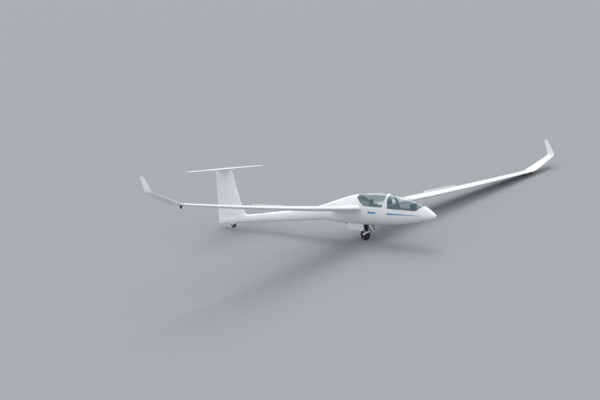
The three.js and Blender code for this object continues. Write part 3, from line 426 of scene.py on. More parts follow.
# Columns: station, top, bottom, half width, height of the widest point
HULL = [
    [0, 14, -14, 14, 0],
    [25, 42, -30, 38, 4],
    [110, 108, -66, 96, 14],
    [258, 212, -100, 160, 36],
    [431, 318, -122, 206, 66],
    [657, 422, -150, 252, 98],
    [859, 500, -172, 284, 126],
    [1090, 580, -188, 312, 154],
    [1360, 654, -202, 335, 184],
    [1640, 712, -212, 352, 212],
    [1940, 760, -219, 361, 232],
    [2240, 786, -221, 362, 244],
    [2560, 789, -213, 352, 248],
    [2880, 768, -198, 328, 246],
    [3200, 729, -172, 296, 240],
    [3480, 676, -138, 264, 232],
    [3760, 612, -92, 232, 224],
    [4040, 548, -46, 205, 216],
    [4350, 474, -12, 180, 206],
    [4800, 396, -2, 156, 184],
    [5400, 334, -8, 140, 160],
    [6200, 282, -16, 124, 134],
    [7000, 238, -18, 106, 112],
    [7560, 208, -24, 88, 96],
    [8000, 186, -30, 66, 82],
    [8385, 164, -32, 26, 70],
]
HULL_POINTS = 96
ROUNDNESS = 2.15
HULL_STEP = 42
NOSE_STEP = 6
NOSE_END = 120

HULL_END = HULL[-1][0]

hull_top, hull_bottom, hull_half, hull_widest = smooth_columns(HULL, (1, 2, 3, 4))


def hull_ring(station, offset):
    top, bottom = hull_top(station) + offset, hull_bottom(station) - offset
    half, widest = hull_half(station) + offset, hull_widest(station)
    ring = []
    for k in range(HULL_POINTS):
        turn = 2 * math.pi * (k + 0.5) / HULL_POINTS
        out = math.copysign(abs(math.cos(turn)) ** (2 / ROUNDNESS), math.cos(turn))
        rise = math.copysign(abs(math.sin(turn)) ** (2 / ROUNDNESS), math.sin(turn))
        reach = top - widest if rise > 0 else widest - bottom
        ring.append(at(station, out * half, widest + rise * reach))
    return ring


def stations_between(start, end):
    nose = list(np.arange(start, min(end, NOSE_END), NOSE_STEP)) if start < NOSE_END else []
    first = nose[-1] + NOSE_STEP if nose else start
    rest = max(2, round((end - first) / HULL_STEP) + 1)
    return nose + list(np.linspace(first, end, rest))


def hull_form(offset=0, start=0, end=HULL_END):
    """The fuselage's outer form, or a form that lies `offset` outside or inside it."""
    return loft([hull_ring(station, offset) for station in stations_between(start, end)])


def hull_share(station, y, z):
    """How far out a point lies between the fuselage's middle line, 0, and its skin, 1."""
    widest = hull_widest(station)
    reach = np.where(z > widest, hull_top(station) - widest, widest - hull_bottom(station))
    across, upwards = np.abs(y / hull_half(station)), np.abs((z - widest) / reach)
    return (across ** ROUNDNESS + upwards ** ROUNDNESS) ** (1 / ROUNDNESS)


def depth_below_skin(station, y, z):
    reach = np.minimum(hull_half(station), hull_top(station) - hull_widest(station))
    return (1 - hull_share(station, y, z)) * reach


def hull_width_at(station, z):
    """Half the fuselage's width at a height."""
    widest = hull_widest(station)
    reach = hull_top(station) - widest if z > widest else widest - hull_bottom(station)
    share = min(1.0, abs(z - widest) / reach)
    return hull_half(station) * (1 - share ** ROUNDNESS) ** (1 / ROUNDNESS)


def hull_top_at(station, y):
    """The height of the fuselage's upper skin at a distance from the middle."""
    widest = hull_widest(station)
    share = min(1.0, abs(y) / hull_half(station))
    return widest + (hull_top(station) - widest) * (1 - share ** ROUNDNESS) ** (1 / ROUNDNESS)


CAVITY = [
    (300, -BEYOND), (2515, -BEYOND), (2515, 335), (2690, 428), (3010, 630), (3010, BEYOND), (300, BEYOND),
]
FRONT_CANOPY = [(560, 146), (1724, 263), (1724, BEYOND), (300, BEYOND), (300, 396)]
FRONT_GLASS = [(620, 184), (1650, 292), (1653, 400), (1674, 522), (1690, 600), (1690, BEYOND),
               (300, BEYOND), (300, 500), (452, 308)]
REAR_CANOPY = [(1732, 280), (2490, 280), (2640, 368), (3045, 662), (3045, BEYOND), (1732, BEYOND)]
REAR_GLASS = [(1845, 335), (2560, 396), (2620, 424), (2860, 640), (2890, 700), (2895, BEYOND),
              (1755, BEYOND), (1760, 640), (1764, 565), (1784, 475), (1814, 415)]
# How far the rear canopy opens, in degrees, and the gap left over the wing then
REAR_CANOPY_OPENS = 65
OPEN_CANOPY_GAP = 3
GLASS_CORNER = 70
CANOPY_CORNER = 40
HOOP = SimpleNamespace(front=1690, rear=1766, outside=21, inside=48)
CANOPY_HINGES = {
    "front": (at(700, -294, 162), at(1650, -374, 257), (0.36, 0.74)),
    "rear": (at(1900, -376, 280), at(2400, -376, 280), (0.16, 0.9)),
}
KNUCKLE = SimpleNamespace(radius=8, lug=26, ear=12, reach=52, slope=1.9, strap=9)


def canopy_knuckles(hinge):
    """The sill's ears and the canopy's lugs at each hinge of a canopy."""
    start, end, stations = hinge
    along = (start - end).normalized()
    ears, lugs = [], []

    def arm(middle, width, rise):
        half = along * width / 2
        pin = bar(middle - half, middle + half, KNUCKLE.radius)
        side = Vector((0, 1, rise)).normalized()
        upwards = along.cross(side).normalized()
        inward = upwards.cross(along).normalized()
        centre = middle + inward * KNUCKLE.reach / 2
        strap = block(centre, (along, inward, upwards), (width, KNUCKLE.reach, KNUCKLE.strap))
        return union([pin, strap])

    for part in stations:
        centre = start.lerp(end, part)
        lugs.append(arm(centre, KNUCKLE.lug, KNUCKLE.slope))
        for way in (-1, 1):
            shift = way * (KNUCKLE.lug / 2 + SEAT_GAP + KNUCKLE.ear / 2)
            ears.append(arm(centre + along * shift, KNUCKLE.ear, -KNUCKLE.slope))
    return ears, lugs


# Wings

RISE = SimpleNamespace(root=308.6, slope=0.04975, bend=2.953e-6)
# Columns: span position, leading edge station, chord, thickness ratio, incidence in degrees
PLANFORM = [
    [420, 2660, 1130, 0.150, 2.5],
    [2900, 2675, 1070, 0.143, 2.0],
    [5400, 2700, 868, 0.137, 1.4],
    [7400, 2733, 690, 0.130, 0.9],
    [8600, 2750, 560, 0.125, 0.5],
]
CHORD_STEPS = 34
NOSE_STEPS = 14
CAMBER = 0.025
CAMBER_PEAK = 0.45
chord_places = [(1 - math.cos(math.pi * k / CHORD_STEPS)) / 2 for k in range(CHORD_STEPS + 1)]


def wing_height(y):
    return RISE.root + RISE.slope * y + RISE.bend * y * y


def wing_roll(y):
    return math.atan(RISE.slope + 2 * RISE.bend * y)


def section_of(y, station, z, chord, thickness, incidence=0.0, roll=0.0):
    """A wing section; the angles are in degrees."""
    return SimpleNamespace(
        y=y, station=station, z=z, chord=chord, thickness=thickness,
        incidence=math.radians(incidence), roll=math.radians(roll))


def planform_at(y):
    station, chord, thickness, incidence = straight_columns(PLANFORM, y, (1, 2, 3, 4))
    return section_of(y, station, wing_height(y), chord, thickness, incidence, math.degrees(wing_roll(y)))


def half_thickness(x, ratio):
    """The usual four-digit thickness curve."""
    curve = 0.2969 * math.sqrt(x) - 0.126 * x - 0.3516 * x ** 2 + 0.2843 * x ** 3 - 0.1015 * x ** 4
    return 5 * ratio * curve


def camber_line(x, height=CAMBER):
    if x < CAMBER_PEAK:
        return height / CAMBER_PEAK ** 2 * (2 * CAMBER_PEAK * x - x * x)
    return height / (1 - CAMBER_PEAK) ** 2 * (1 - 2 * CAMBER_PEAK + 2 * CAMBER_PEAK * x - x * x)


def on_section(section, side, x, up):
    """A point of a section, chordwise and upwards in chords, in the craft's frame."""
    along = section.chord * (x * math.cos(section.incidence) + up * math.sin(section.incidence))
    rise = section.chord * (up * math.cos(section.incidence) - x * math.sin(section.incidence))
    y = section.y - math.sin(section.roll) * rise
    return at(section.station + along, side * y, section.z + math.cos(section.roll) * rise)


def skin_points(section, side, places, way, camber):
    return [
        on_section(section, side, x, camber_line(x, camber) + way * half_thickness(x, section.thickness))
        for x in places
    ]


def section_ring(section, side=1, camber=CAMBER):
    upper = skin_points(section, side, chord_places[::-1], 1, camber)
    return upper + skin_points(section, side, chord_places[1:], -1, camber)


def hinge_in(section, hinge_station, camber):
    """Where a hinge lies along and above the chord, and the nose radius there, in chords."""
    x = (hinge_station - section.station) / section.chord
    return x, camber_line(x, camber), half_thickness(x, section.thickness)


def flap_ring(section, side, hinge_station, camber):
    """The part of a section behind its hinge, with a round nose about the hinge."""
    x, up, nose = hinge_in(section, hinge_station, camber)
    behind = [x + (1 - x) * k / 10 for k in range(10, 0, -1)]
    round_nose = []
    for k in range(NOSE_STEPS + 1):
        turn = math.pi / 2 + math.pi * k / NOSE_STEPS
        round_nose.append(on_section(section, side, x + nose * math.cos(turn), up + nose * math.sin(turn)))
    upper = skin_points(section, side, behind, 1, camber)
    return upper + round_nose + skin_points(section, side, behind[::-1], -1, camber)


def cove_ring(section, side, hinge_station, camber):
    """The room that a moving surface needs: a round cove about its hinge and everything behind."""
    x, up, nose = hinge_in(section, hinge_station, camber)
    radius = nose + SURFACE_GAP / section.chord
    tall = 90 / section.chord

    def corner(along, rise):
        return on_section(section, side, along, up + rise)

    cove = []
    for k in range(NOSE_STEPS + 1):
        turn = math.pi / 2 + math.pi * k / NOSE_STEPS
        cove.append(corner(x + radius * math.cos(turn), radius * math.sin(turn)))
    return [corner(1.3, tall), corner(x, tall), *cove, corner(x, -tall), corner(1.3, -tall)]


BRACKET = SimpleNamespace(width=30, behind=8, half_height=6, slot_behind=16)


def bracket_at(point, axis, reach):
    """A hinge bracket on the fixed side, and the slot that it needs in the moving surface."""
    back = (Vector((-1, 0, 0)) + axis * axis.x).normalized()
    axes = (back, axis, back.cross(axis).normalized())

    def part(rear, width, half_height):
        return block(point + back * (rear - reach) / 2, axes, (rear + reach, width, 2 * half_height))

    slot = part(BRACKET.slot_behind, BRACKET.width + 2 * SEAT_GAP, 100)
    return part(BRACKET.behind, BRACKET.width, BRACKET.half_height), slot


AILERON_BRACKETS = (0.04, 0.5, 0.96)


def aileron_hinge_station(y):
    return np.interp(y, (AILERON.inner, AILERON.outer), (AILERON.in_hinge, AILERON.out_hinge))


def aileron_hinge(side):
    def rib(y, station):
        section = planform_at(y)
        x, up, _ = hinge_in(section, station, CAMBER)
        return on_section(section, side, x, up)

    inner = rib(AILERON.inner, AILERON.in_hinge)
    outer = rib(AILERON.outer, AILERON.out_hinge)
    middle = rib((AILERON.inner + AILERON.outer) / 2, (AILERON.in_hinge + AILERON.out_hinge) / 2)
    sag = (inner.z + outer.z) / 2 - middle.z
    inner.z -= sag / 2
    outer.z -= sag / 2
    return inner, outer, (outer - inner).normalized() * side


def aileron_rings(side, end_gap, ring):
    ribs = np.linspace(AILERON.inner - end_gap, AILERON.outer + end_gap, 28)
    return [ring(planform_at(y), side, aileron_hinge_station(y), CAMBER) for y in ribs]


def aileron_brackets(side):
    inner, outer, axis = aileron_hinge(side)
    return [bracket_at(inner.lerp(outer, part), axis, 70) for part in AILERON_BRACKETS]


AIRBRAKE_CAP = SimpleNamespace(width=44, thickness=8)
AIRBRAKE_SLOT = SimpleNamespace(width=58, guide=24, guide_gap=0.5, below=6)


def airbrake_frame(side):
    """The airbrake's middle on the upper skin, and its spanwise, chordwise and sliding directions."""
    def on(y):
        section = planform_at(y)
        x = AIRBRAKE.chord_part
        return on_section(section, side, x, camber_line(x) + half_thickness(x, section.thickness))

    inner, outer = on(AIRBRAKE.inner), on(AIRBRAKE.outer)
    along = (outer - inner).normalized()
    chordwise = (Vector((-1, 0, 0)) + along * along.x).normalized() * side
    return SimpleNamespace(
        middle=inner.lerp(outer, 0.5), axes=(along, chordwise, along.cross(chordwise)),
        length=(outer - inner).length)


def airbrake_block(brake, length, width, low, high, along=0.0, across=0.0):
    spanwise, chordwise, sliding = brake.axes
    centre = brake.middle + sliding * (low + high) / 2 + spanwise * along + chordwise * across
    return block(centre, brake.axes, (length, width, high - low))


AIRBRAKE_POCKETS = 10


def airbrake_body(side):
    """A blade with pressed pockets on both faces, under a cap that closes the slot."""
    brake = airbrake_frame(side)
    low, high = AIRBRAKE.out - AIRBRAKE.height, AIRBRAKE.out
    blade = airbrake_block(brake, brake.length, AIRBRAKE.thickness, low, high - AIRBRAKE_CAP.thickness / 2)
    pitch = (brake.length - 60) / AIRBRAKE_POCKETS
    pockets = [
        airbrake_block(
            brake, pitch - 28, 6, low + 14, high - 22, (k + 0.5 - AIRBRAKE_POCKETS / 2) * pitch,
            face * AIRBRAKE.thickness / 2)
        for k in range(AIRBRAKE_POCKETS) for face in (-1, 1)
    ]
    cap_length = brake.length - 2 * AIRBRAKE_SLOT.guide - 12
    cap = airbrake_block(brake, cap_length, AIRBRAKE_CAP.width, high - AIRBRAKE_CAP.thickness, high)
    return union([bevelled(without(blade, [merged(pockets)]), 1.2, 2), bevelled(cap, 2.5)])


def wing_panel(side, drop=0):
    rings = []
    for y in sorted({*np.linspace(ROOT_RIB, PLANFORM[-1][0], 72), *[row[0] for row in PLANFORM]}):
        section = planform_at(y)
        section.z -= drop
        rings.append(section_ring(section, side))
    return loft(rings)


DRIVE_FAIRING = SimpleNamespace(y=6850, length=190, half_width=16, depth=22)


def drive_fairing(side):
    section = planform_at(DRIVE_FAIRING.y)
    hinge_station = aileron_hinge_station(DRIVE_FAIRING.y)
    nose = hinge_in(section, hinge_station, CAMBER)[2]
    rear_end = hinge_station - section.chord * nose - SURFACE_GAP - 8
    x = (rear_end - section.station) / section.chord
    belly = on_section(section, side, x, camber_line(x) - half_thickness(x, section.thickness))
    size = smooth_through((0, 0.35, 0.75, 1), (0.05, 1, 1, 0.1))
    rings = []
    for part in np.linspace(0, 1, 18):
        centre = at(rear_end - DRIVE_FAIRING.length * (1 - part), belly.y, belly.z)
        rings.append(ring_round(
            centre, Vector((0, 1, 0)), Vector((0, 0, 1)),
            size(part) * DRIVE_FAIRING.half_width, 20, size(part) * DRIVE_FAIRING.depth))
    return loft(rings)


def main_panel(side):
    brake = airbrake_frame(side)
    floor = -AIRBRAKE.height - AIRBRAKE_SLOT.below
    wide = airbrake_block(brake, brake.length - 2 * AIRBRAKE_SLOT.guide, AIRBRAKE_SLOT.width, floor, 60)
    narrow = airbrake_block(
        brake, brake.length + 2 * AIRBRAKE_SLOT.guide_gap, AIRBRAKE.thickness + 2 * AIRBRAKE_SLOT.guide_gap,
        floor, 60)
    panel = without(wing_panel(side), [loft(aileron_rings(side, 6, cove_ring)), wide, narrow])
    return union([panel, drive_fairing(side), *[fixed for fixed, _ in aileron_brackets(side)]])


def aileron_body(side):
    return without(loft(aileron_rings(side, 0, flap_ring)), [slot for _, slot in aileron_brackets(side)])


# Columns: span position, leading edge station, height, chord, thickness ratio, incidence and roll (degrees)
TIP_RIBS = [
    [8600.3, 2750, wing_height(8600.3), 560, 0.125, 0.5, 5.9],
    [8700, 2751, 966, 530, 0.125, 0.5, 9],
    [8800, 2760, 990, 506, 0.122, 0.4, 17],
    [9350, 2828, 1177, 398, 0.118, 0.2, 19],
    [9860, 2894, 1356, 302, 0.112, 0, 20],
]
WINGLET_RIBS = [
    [9860.3, 2894, 1356, 302, 0.112, 0, 20],
    [9925, 2906, 1383, 286, 0.105, 0, 33],
    [9966, 2922, 1430, 268, 0.100, 0, 62],
    [9978, 2955, 1500, 246, 0.095, 0, 84],
    [9996, 3186, 1878, 127, 0.090, 0, 88],
]
TIP_CAMBER = 0.018


def rib_loft(rows, side, steps=30):
    """A panel through a few ribs, smooth between them."""
    between_ribs = np.diff([[row[0], row[2]] for row in rows], axis=0)
    reach = np.concatenate([[0], np.cumsum(np.hypot(*between_ribs.T))])
    columns = [smooth_through(reach, [row[k] for row in rows]) for k in range(7)]
    rings = []
    for place in sorted({*np.linspace(0, reach[-1], steps), *reach}):
        rings.append(section_ring(section_of(*[column(place) for column in columns]), side, TIP_CAMBER))
    return loft(rings)


# Columns: span position, leading edge station, chord, thickness ratio
ROOT_FAIRING = [
    [150, 2600, 1330, 0.165],
    [270, 2622, 1250, 0.160],
    [345, 2652, 1160, 0.152],
    [420 - SEAT_GAP, 2660, 1130, 0.150],
]
ROOT_FILLET = 70


def fillet_push(distance, radius):
    """How far a surface is pushed aside at a distance from the wall it meets, to round the corner."""
    inside = min(max(radius - distance, 0), radius)
    return radius - math.sqrt(radius ** 2 - inside ** 2)


fillet_fade = smooth_through((0, 0.06, 0.55, 0.85, 1), (0.5, 1, 1, 0.35, 0.02))


def filleted(ring, section, span_axis, gap_at, radius_at):
    """A section's ring, spread out where it nears a wall, less so at its trailing edge."""
    count = len(ring)
    made = []
    for k, point in enumerate(ring):
        along = ring[(k + 1) % count] - ring[k - 1]
        outwards = along.cross(span_axis).normalized()
        part = min(1, max(0, (-point.x - section.station) / section.chord))
        push = fillet_push(gap_at(point), radius_at(point))
        made.append(point + outwards * push * float(fillet_fade(part)))
    return made


def root_fairing():
    columns = smooth_columns(ROOT_FAIRING, (1, 2, 3))
    rings = []
    for y in np.linspace(150, ROOT_RIB - SEAT_GAP, 60):
        station, chord, thickness = [column(y) for column in columns]
        roll = math.degrees(wing_roll(ROOT_RIB)) * min(1, y / ROOT_RIB)
        section = section_of(y, station, wing_height(y), chord, thickness, 2.5, roll)
        rings.append(filleted(
            section_ring(section), section, ACROSS,
            lambda point, y=y: y - hull_width_at(-point.x, point.z), lambda point: ROOT_FILLET))
    mirrored = [[Vector((point.x, -point.y, point.z)) for point in ring] for ring in rings]
    return loft(mirrored[::-1] + rings)


# Tail

TAIL_WELL = SimpleNamespace(half=104, half_width=35, roof=34)
# Columns: height, leading edge station, trailing edge station, thickness ratio
FIN = [
    [40, 7340, 8573, 0.085],
    [150, 7388, 8574, 0.09],
    [215, 7442, 8575, 0.098],
    [300, 7520, 8576, 0.108],
    [929, 7750, 8583, 0.118],
    [1570, 7948, 8591, 0.118],
    [1661, 7978, 8592, 0.118],
]
FIN_FILLET = 45
RUDDER_BRACKETS = (0.06, 0.5, 0.94)
fin_leading, fin_trailing, fin_thickness = smooth_columns(FIN, (1, 2, 3))


def fin_at(z):
    leading = fin_leading(z)
    return section_of(z, leading, 0, fin_trailing(z) - leading, fin_thickness(z))


def upright(ring):
    """A section that lies flat, stood up: its span runs up and its height runs to port."""
    return [Vector((point.x, point.z, point.y)) for point in ring]


def rudder_hinge_station(z):
    return RUDDER.hinge_low + (RUDDER.hinge_high - RUDDER.hinge_low) * z / 1587


def rudder_rings(low, high, ring, steps=24):
    return [upright(ring(fin_at(z), 1, rudder_hinge_station(z), 0)) for z in np.linspace(low, high, steps)]


rudder_low = at(rudder_hinge_station(RUDDER.bottom), 0, RUDDER.bottom)
rudder_high = at(rudder_hinge_station(RUDDER.top), 0, RUDDER.top)


# Above this side-view line the rudder would meet the elevator's middle, (station, height)
RUDDER_CROWN = [(8300, 1600), (8430, 1619), (8620, 1648)]
# The notch in the elevator's middle, in which the rudder swings: (station, half width)
ELEVATOR_NOTCH = [(8408, 34), (8640, 172)]


def rudder_brackets():
    axis = (rudder_high - rudder_low).normalized()
    return [bracket_at(rudder_low.lerp(rudder_high, part), axis, 75) for part in RUDDER_BRACKETS]


# Columns: span position, leading edge station, chord, thickness ratio
TAILPLANE = [
    [0, 7955, 605, 0.108],
    [1690, 8098, 345, 0.095],
    [1704, 8104, 336, 0.092],
    [1712, 8112, 322, 0.075],
    [1715, 8122, 304, 0.050],
]
TAILPLANE_HEIGHT = 1662
ELEVATOR_BRACKETS = (-1180, 0, 1180)


def tailplane_at(y, drop=0):
    station, chord, thickness = straight_columns(TAILPLANE, abs(y), (1, 2, 3))
    return section_of(y, station, TAILPLANE_HEIGHT - drop, chord, thickness)


def tailplane(drop=0):
    outer = [row[0] for row in TAILPLANE[1:]]
    places = [-y for y in outer[::-1]] + list(np.linspace(-1600, 1600, 33)) + outer
    return loft([section_ring(tailplane_at(y, drop), 1, 0) for y in places])


def elevator_section(y):
    middle, end = TAILPLANE[0], TAILPLANE[1]
    part = abs(y) / end[0]
    station, chord, thickness = [middle[k] + part * (end[k] - middle[k]) for k in (1, 2, 3)]
    return section_of(y, station, TAILPLANE_HEIGHT, chord, thickness)


def elevator_rings(ends, ring):
    return [ring(elevator_section(y), 1, ELEVATOR.hinge, 0) for y in np.linspace(-ends, ends, 33)]


def elevator_brackets():
    return [bracket_at(at(ELEVATOR.hinge, y, TAILPLANE_HEIGHT), ACROSS, 60) for y in ELEVATOR_BRACKETS]


def rudder_body():
    blade = loft(rudder_rings(RUDDER.bottom, RUDDER.top, flap_ring))
    crown = side_prism([*RUDDER_CROWN, (8620, BEYOND), (8300, BEYOND)], -200, 200)
    return without(blade, [crown, *[slot for _, slot in rudder_brackets()]])


def elevator_body():
    (front, narrow), (rear, wide) = ELEVATOR_NOTCH
    corners = [(front, -narrow), (front, narrow), (rear, wide), (rear, -wide)]
    notch = loft([[at(station, y, z) for station, y in corners] for z in (1500, 1800)])
    flap = loft(elevator_rings(ELEVATOR.half, flap_ring))
    return without(flap, [notch, *[slot for _, slot in elevator_brackets()]])


def fin_fillet(point):
    """The corner's radius: no wider than the tail boom has room for."""
    return min(FIN_FILLET, max(1, hull_half(min(-point.x, HULL_END)) - abs(point.y) - 3))


def fin_blade():
    """The fin with a rounded corner where it meets the tail boom."""
    rings = []
    for z in [*np.linspace(40, 400, 60), *np.linspace(430, 1661, 28)]:
        section = fin_at(z)
        rings.append(filleted(
            upright(section_ring(section, 1, 0)), section, Vector((0, 0, -1)),
            lambda point, z=z: z - hull_top_at(min(-point.x, HULL_END), point.y), fin_fillet))
    blade = loft(rings)
    crown = slab(7000, 9000, TAILPLANE_HEIGHT, BEYOND, BEYOND)
    elevator_room = slab(ELEVATOR.hinge - 32, 9000, 1622, BEYOND, BEYOND)
    return without(blade, [crown, elevator_room, tailplane(SEAT_GAP)])


def tail_well():
    front, rear = TAIL_WHEEL.station - TAIL_WELL.half, TAIL_WHEEL.station + TAIL_WELL.half
    return slab(front, rear, BELOW, TAIL_WELL.roof, TAIL_WELL.half_width)


# Columns: station, half width, bottom
TAIL_FAIRING = [
    [7852, 18, -36], [7876, 45, -46], [7920, 50, -58], [7990, 51, -60], [8080, 47, -54], [8172, 16, -38],
]
TAIL_CHEEK = [(7962, 10), (8014, 10), (8006, -84), (7996, -94), (7980, -94), (7970, -84)]


def tail_fairing():
    """The light fairing round the tail wheel's slot, with the two cheeks that carry its axle."""
    width, bottom = smooth_columns(TAIL_FAIRING, (1, 2))
    rings = []
    for station in np.linspace(TAIL_FAIRING[0][0], TAIL_FAIRING[-1][0], 40):
        half, low = width(station), bottom(station)
        ring = [at(station, half, 20)]
        for k in range(25):
            turn = math.pi * k / 24
            out = math.copysign(abs(math.cos(turn)) ** 0.6, math.cos(turn))
            ring.append(at(station, half * out, low * abs(math.sin(turn)) ** 0.8))
        rings.append([*ring, at(station, -half, 20)])
    cheeks = [
        bevelled(between(TAIL_CHEEK, side, TAIL_WELL.half_width, TAIL_WELL.half_width + 8), 1.5)
        for side in (-1, 1)
    ]
    axle_end = Vector((0, 80, 0))
    hub = at(TAIL_WHEEL.station, 0, TAIL_WHEEL.z)
    return without(union([loft(rings), *cheeks]), [
        tail_well(), hull_form(SEAT_GAP, 6200), bar(hub - axle_end, hub + axle_end, 8 + SEAT_GAP)])


def fuselage_body(front_ears, rear_ears):
    """The whole fuselage with its fin, as it comes from the mould, with everything cut out of it."""
    front_line = rounded(FRONT_CANOPY, CANOPY_CORNER)
    rear_line = rounded(REAR_CANOPY, CANOPY_CORNER)
    cavity = common(hull_form(-SKIN, 25), [side_prism(CAVITY, -BEYOND, BEYOND)])
    shell = without(union([hull_form(), root_fairing(), fin_blade()]), [
        cavity,
        side_prism(grown(front_line, PARTING_GAP), -BEYOND, BEYOND),
        side_prism(grown(rear_line, PARTING_GAP), -BEYOND, BEYOND),
        bar(at(-10, 0, 0), at(70, 0, 0), 11),
        slab(WELL.front, WELL.rear, -BEYOND, WELL.roof, WELL.half_width),
        loft(rudder_rings(-200, 1700, cove_ring)),
        tail_well(),
    ])
    hoop_outside = hull_form(-HOOP.outside, 1090, 2880)
    hoop = without(
        common(hoop_outside, [slab(HOOP.front, HOOP.rear, 150, BEYOND, BEYOND)]),
        [hull_form(-HOOP.inside, 859, 3200)])
    inside = hull_form(-CANOPY_FRAME_THICKNESS, 25)
    ears = [without(ear, [inside]) for ear in front_ears + rear_ears]
    brackets = [fixed for fixed, _ in rudder_brackets()]
    return union([shell, hoop, *ears, *brackets])


def canopy_bodies(outline, glass_outline, lugs):
    """A canopy's frame and its pane."""
    above = side_prism(rounded(outline, CANOPY_CORNER), -BEYOND, BEYOND)
    glass_line = rounded(glass_outline, GLASS_CORNER)
    opening = side_prism(glass_line, -BEYOND, BEYOND)
    inside = hull_form(-CANOPY_FRAME_THICKNESS, 25)
    skin = common(without(hull_form(), [inside]), [above])
    lug_bodies = [without(lug, [inside, opening]) for lug in lugs]
    frame_body = union([without(skin, [opening]), *lug_bodies])
    pane = common(without(hull_form(), [hull_form(-GLASS_THICKNESS, 25)]), [above])
    return frame_body, common(pane, [side_prism(grown(glass_line, -SEAT_GAP), -BEYOND, BEYOND)])


# Wheels

RIM_BEAD = 72
TREAD = SimpleNamespace(places=(9, 27), half_width=2.2, depth=3.2)


def tyre_profile(wheel, bead, steps, tread=None):
    """A tyre's section, round outside, with the tread's grooves cut in."""
    middle = wheel.radius - wheel.half
    opening = math.acos((bead - middle) / wheel.half)
    profile = []
    for k in range(steps + 1):
        turn = -opening + 2 * opening * k / steps
        out = wheel.half
        if tread and math.cos(turn) > 0:
            off = min(abs(abs(out * math.sin(turn)) - place) for place in tread.places)
            out -= tread.depth * (off < tread.half_width)
        profile.append((middle + out * math.cos(turn), out * math.sin(turn)))
    return profile


def hub_of(wheel):
    return at(wheel.station, wheel.y, wheel.z)


def both_faces(half):
    """A wheel's profile from the half that lies on one side of its middle plane."""
    return [(radius, -y) for radius, y in half] + half[::-1]


def bolt_circle(centre, radius, count, low, high, size):
    """Hexagonal bolt heads on both faces of a wheel."""
    bolts = []
    for k in range(count):
        turn = 2 * math.pi * k / count
        place = centre + Vector((math.cos(turn), 0, math.sin(turn))) * radius
        for side in (-1, 1):
            out = ACROSS * side
            bolts.append(bar(place + out * low, place + out * high, size, 6))
    return bolts


def main_rim():
    centre = hub_of(MAIN_WHEEL)
    bore = MAIN_WHEEL.bore
    half = [(bore, 62), (30, 62), (30, 20), (58, 20), (58, 44), (61, 48), (RIM_BEAD - SEAT_GAP, 48)]
    rim = bevelled(turned(both_faces(half), centre, ACROSS, 72), 1.4, 2, 50)
    bolts = bolt_circle(centre, 44, 8, 18, 26, 5.5) + bolt_circle(centre, 23, 4, 60, 66, 3.6)
    valve = bar(centre + Vector((0, -19, 53)), centre + Vector((0, -43, 53)), 2.6, 12)
    return merged([rim, *bolts, valve])


def brake_disc():
    half_hub = [(14, 66), (26, 66), (26, 68.5), (58, 68.5), (58, 72.5), (26, 72.5), (26, 74), (14, 74)]
    return turned(half_hub, hub_of(MAIN_WHEEL), ACROSS, 64)


def brake_calliper():
    """The brake's body on the port arm, astride the edge of the disc."""
    centre = hub_of(MAIN_WHEEL) + Vector((38, 0, 34))
    axes = (Vector((0.75, 0, 0.66)).normalized(), ACROSS, Vector((-0.66, 0, 0.75)).normalized())
    body = block(centre + ACROSS * 71.5, axes, (26, 17, 46))
    room = turned([(0, 66), (60.5, 66), (60.5, 75), (0, 75)], hub_of(MAIN_WHEEL), ACROSS, 64)
    return bevelled(without(body, [room]), 1.5, 2)


def small_wheel(wheel):
    """The tyre and the hub of a small wheel."""
    bead = wheel.radius - 1.75 * wheel.half
    hub = 0.62 * wheel.half
    web = bead - wheel.bore
    half = [
        (wheel.bore, hub), (wheel.bore + 0.28 * web, hub), (wheel.bore + 0.34 * web, 0.6 * hub),
        (bead - 0.3 * web, 0.6 * hub), (bead - 0.2 * web, hub), (bead - SEAT_GAP, hub),
    ]
    tyre = turned(tyre_profile(wheel, bead, 48), hub_of(wheel), ACROSS, 72)
    return tyre, turned(both_faces(half), hub_of(wheel), ACROSS, 56)


# Landing gear

LEG = SimpleNamespace(
    top=(2690, 118, -30), foot=(2490, 110, -400), back=(2880, 118, -30), elbow=(2880, 126, -30),
    knee=(2555, 122, -290))
LEG_TUBE = SimpleNamespace(leg=14, beam=12, brace=8, front_cross=16, rear_cross=14)
LEG_BOSS = SimpleNamespace(radius=20, inner=94, outer=119)
ARM = SimpleNamespace(inner=80, outer=93, pivot_tube=17)
ARM_OUTLINE = [
    (2446, -404), (2452, -376), (2512, -370), (2640, -388), (2780, -436), (2826, -458), (2838, -487),
    (2826, -512), (2802, -522), (2776, -512), (2640, -432), (2512, -420), (2462, -420),
]
ARM_RECESS = [(2535, -384), (2640, -400), (2698, -420), (2698, -446), (2640, -420), (2535, -406)]
STRUT = SimpleNamespace(top=(2800, 102, -42), foot=(2737, 102, -446), upper=12, lower=8, split=0.58, eye=17)
SPRING = SimpleNamespace(start=0.1, end=0.84, radius=15, wire=2.7, turns=13)
DOOR = SimpleNamespace(inner=122, outer=WELL.half_width - SEAT_GAP, edge=16, depth=8)
DOOR_OUTLINE = [(2765, -152), (2765, -378), (2800, -374), (3370, -318), (3370, -112), (3200, -118)]
DOOR_PANELS = ((2784, 2960), (2976, 3160), (3176, 3352))


def on_side(place, side):
    station, y, z = place
    return at(station, side * y, z)


def collar(start, end, part, radius, length=26):
    """A sleeve on a tube, at a part of its length."""
    half = (end - start).normalized() * length / 2
    middle = start.lerp(end, part)
    return bevelled(bar(middle - half, middle + half, radius, 32), 1.2, 2)


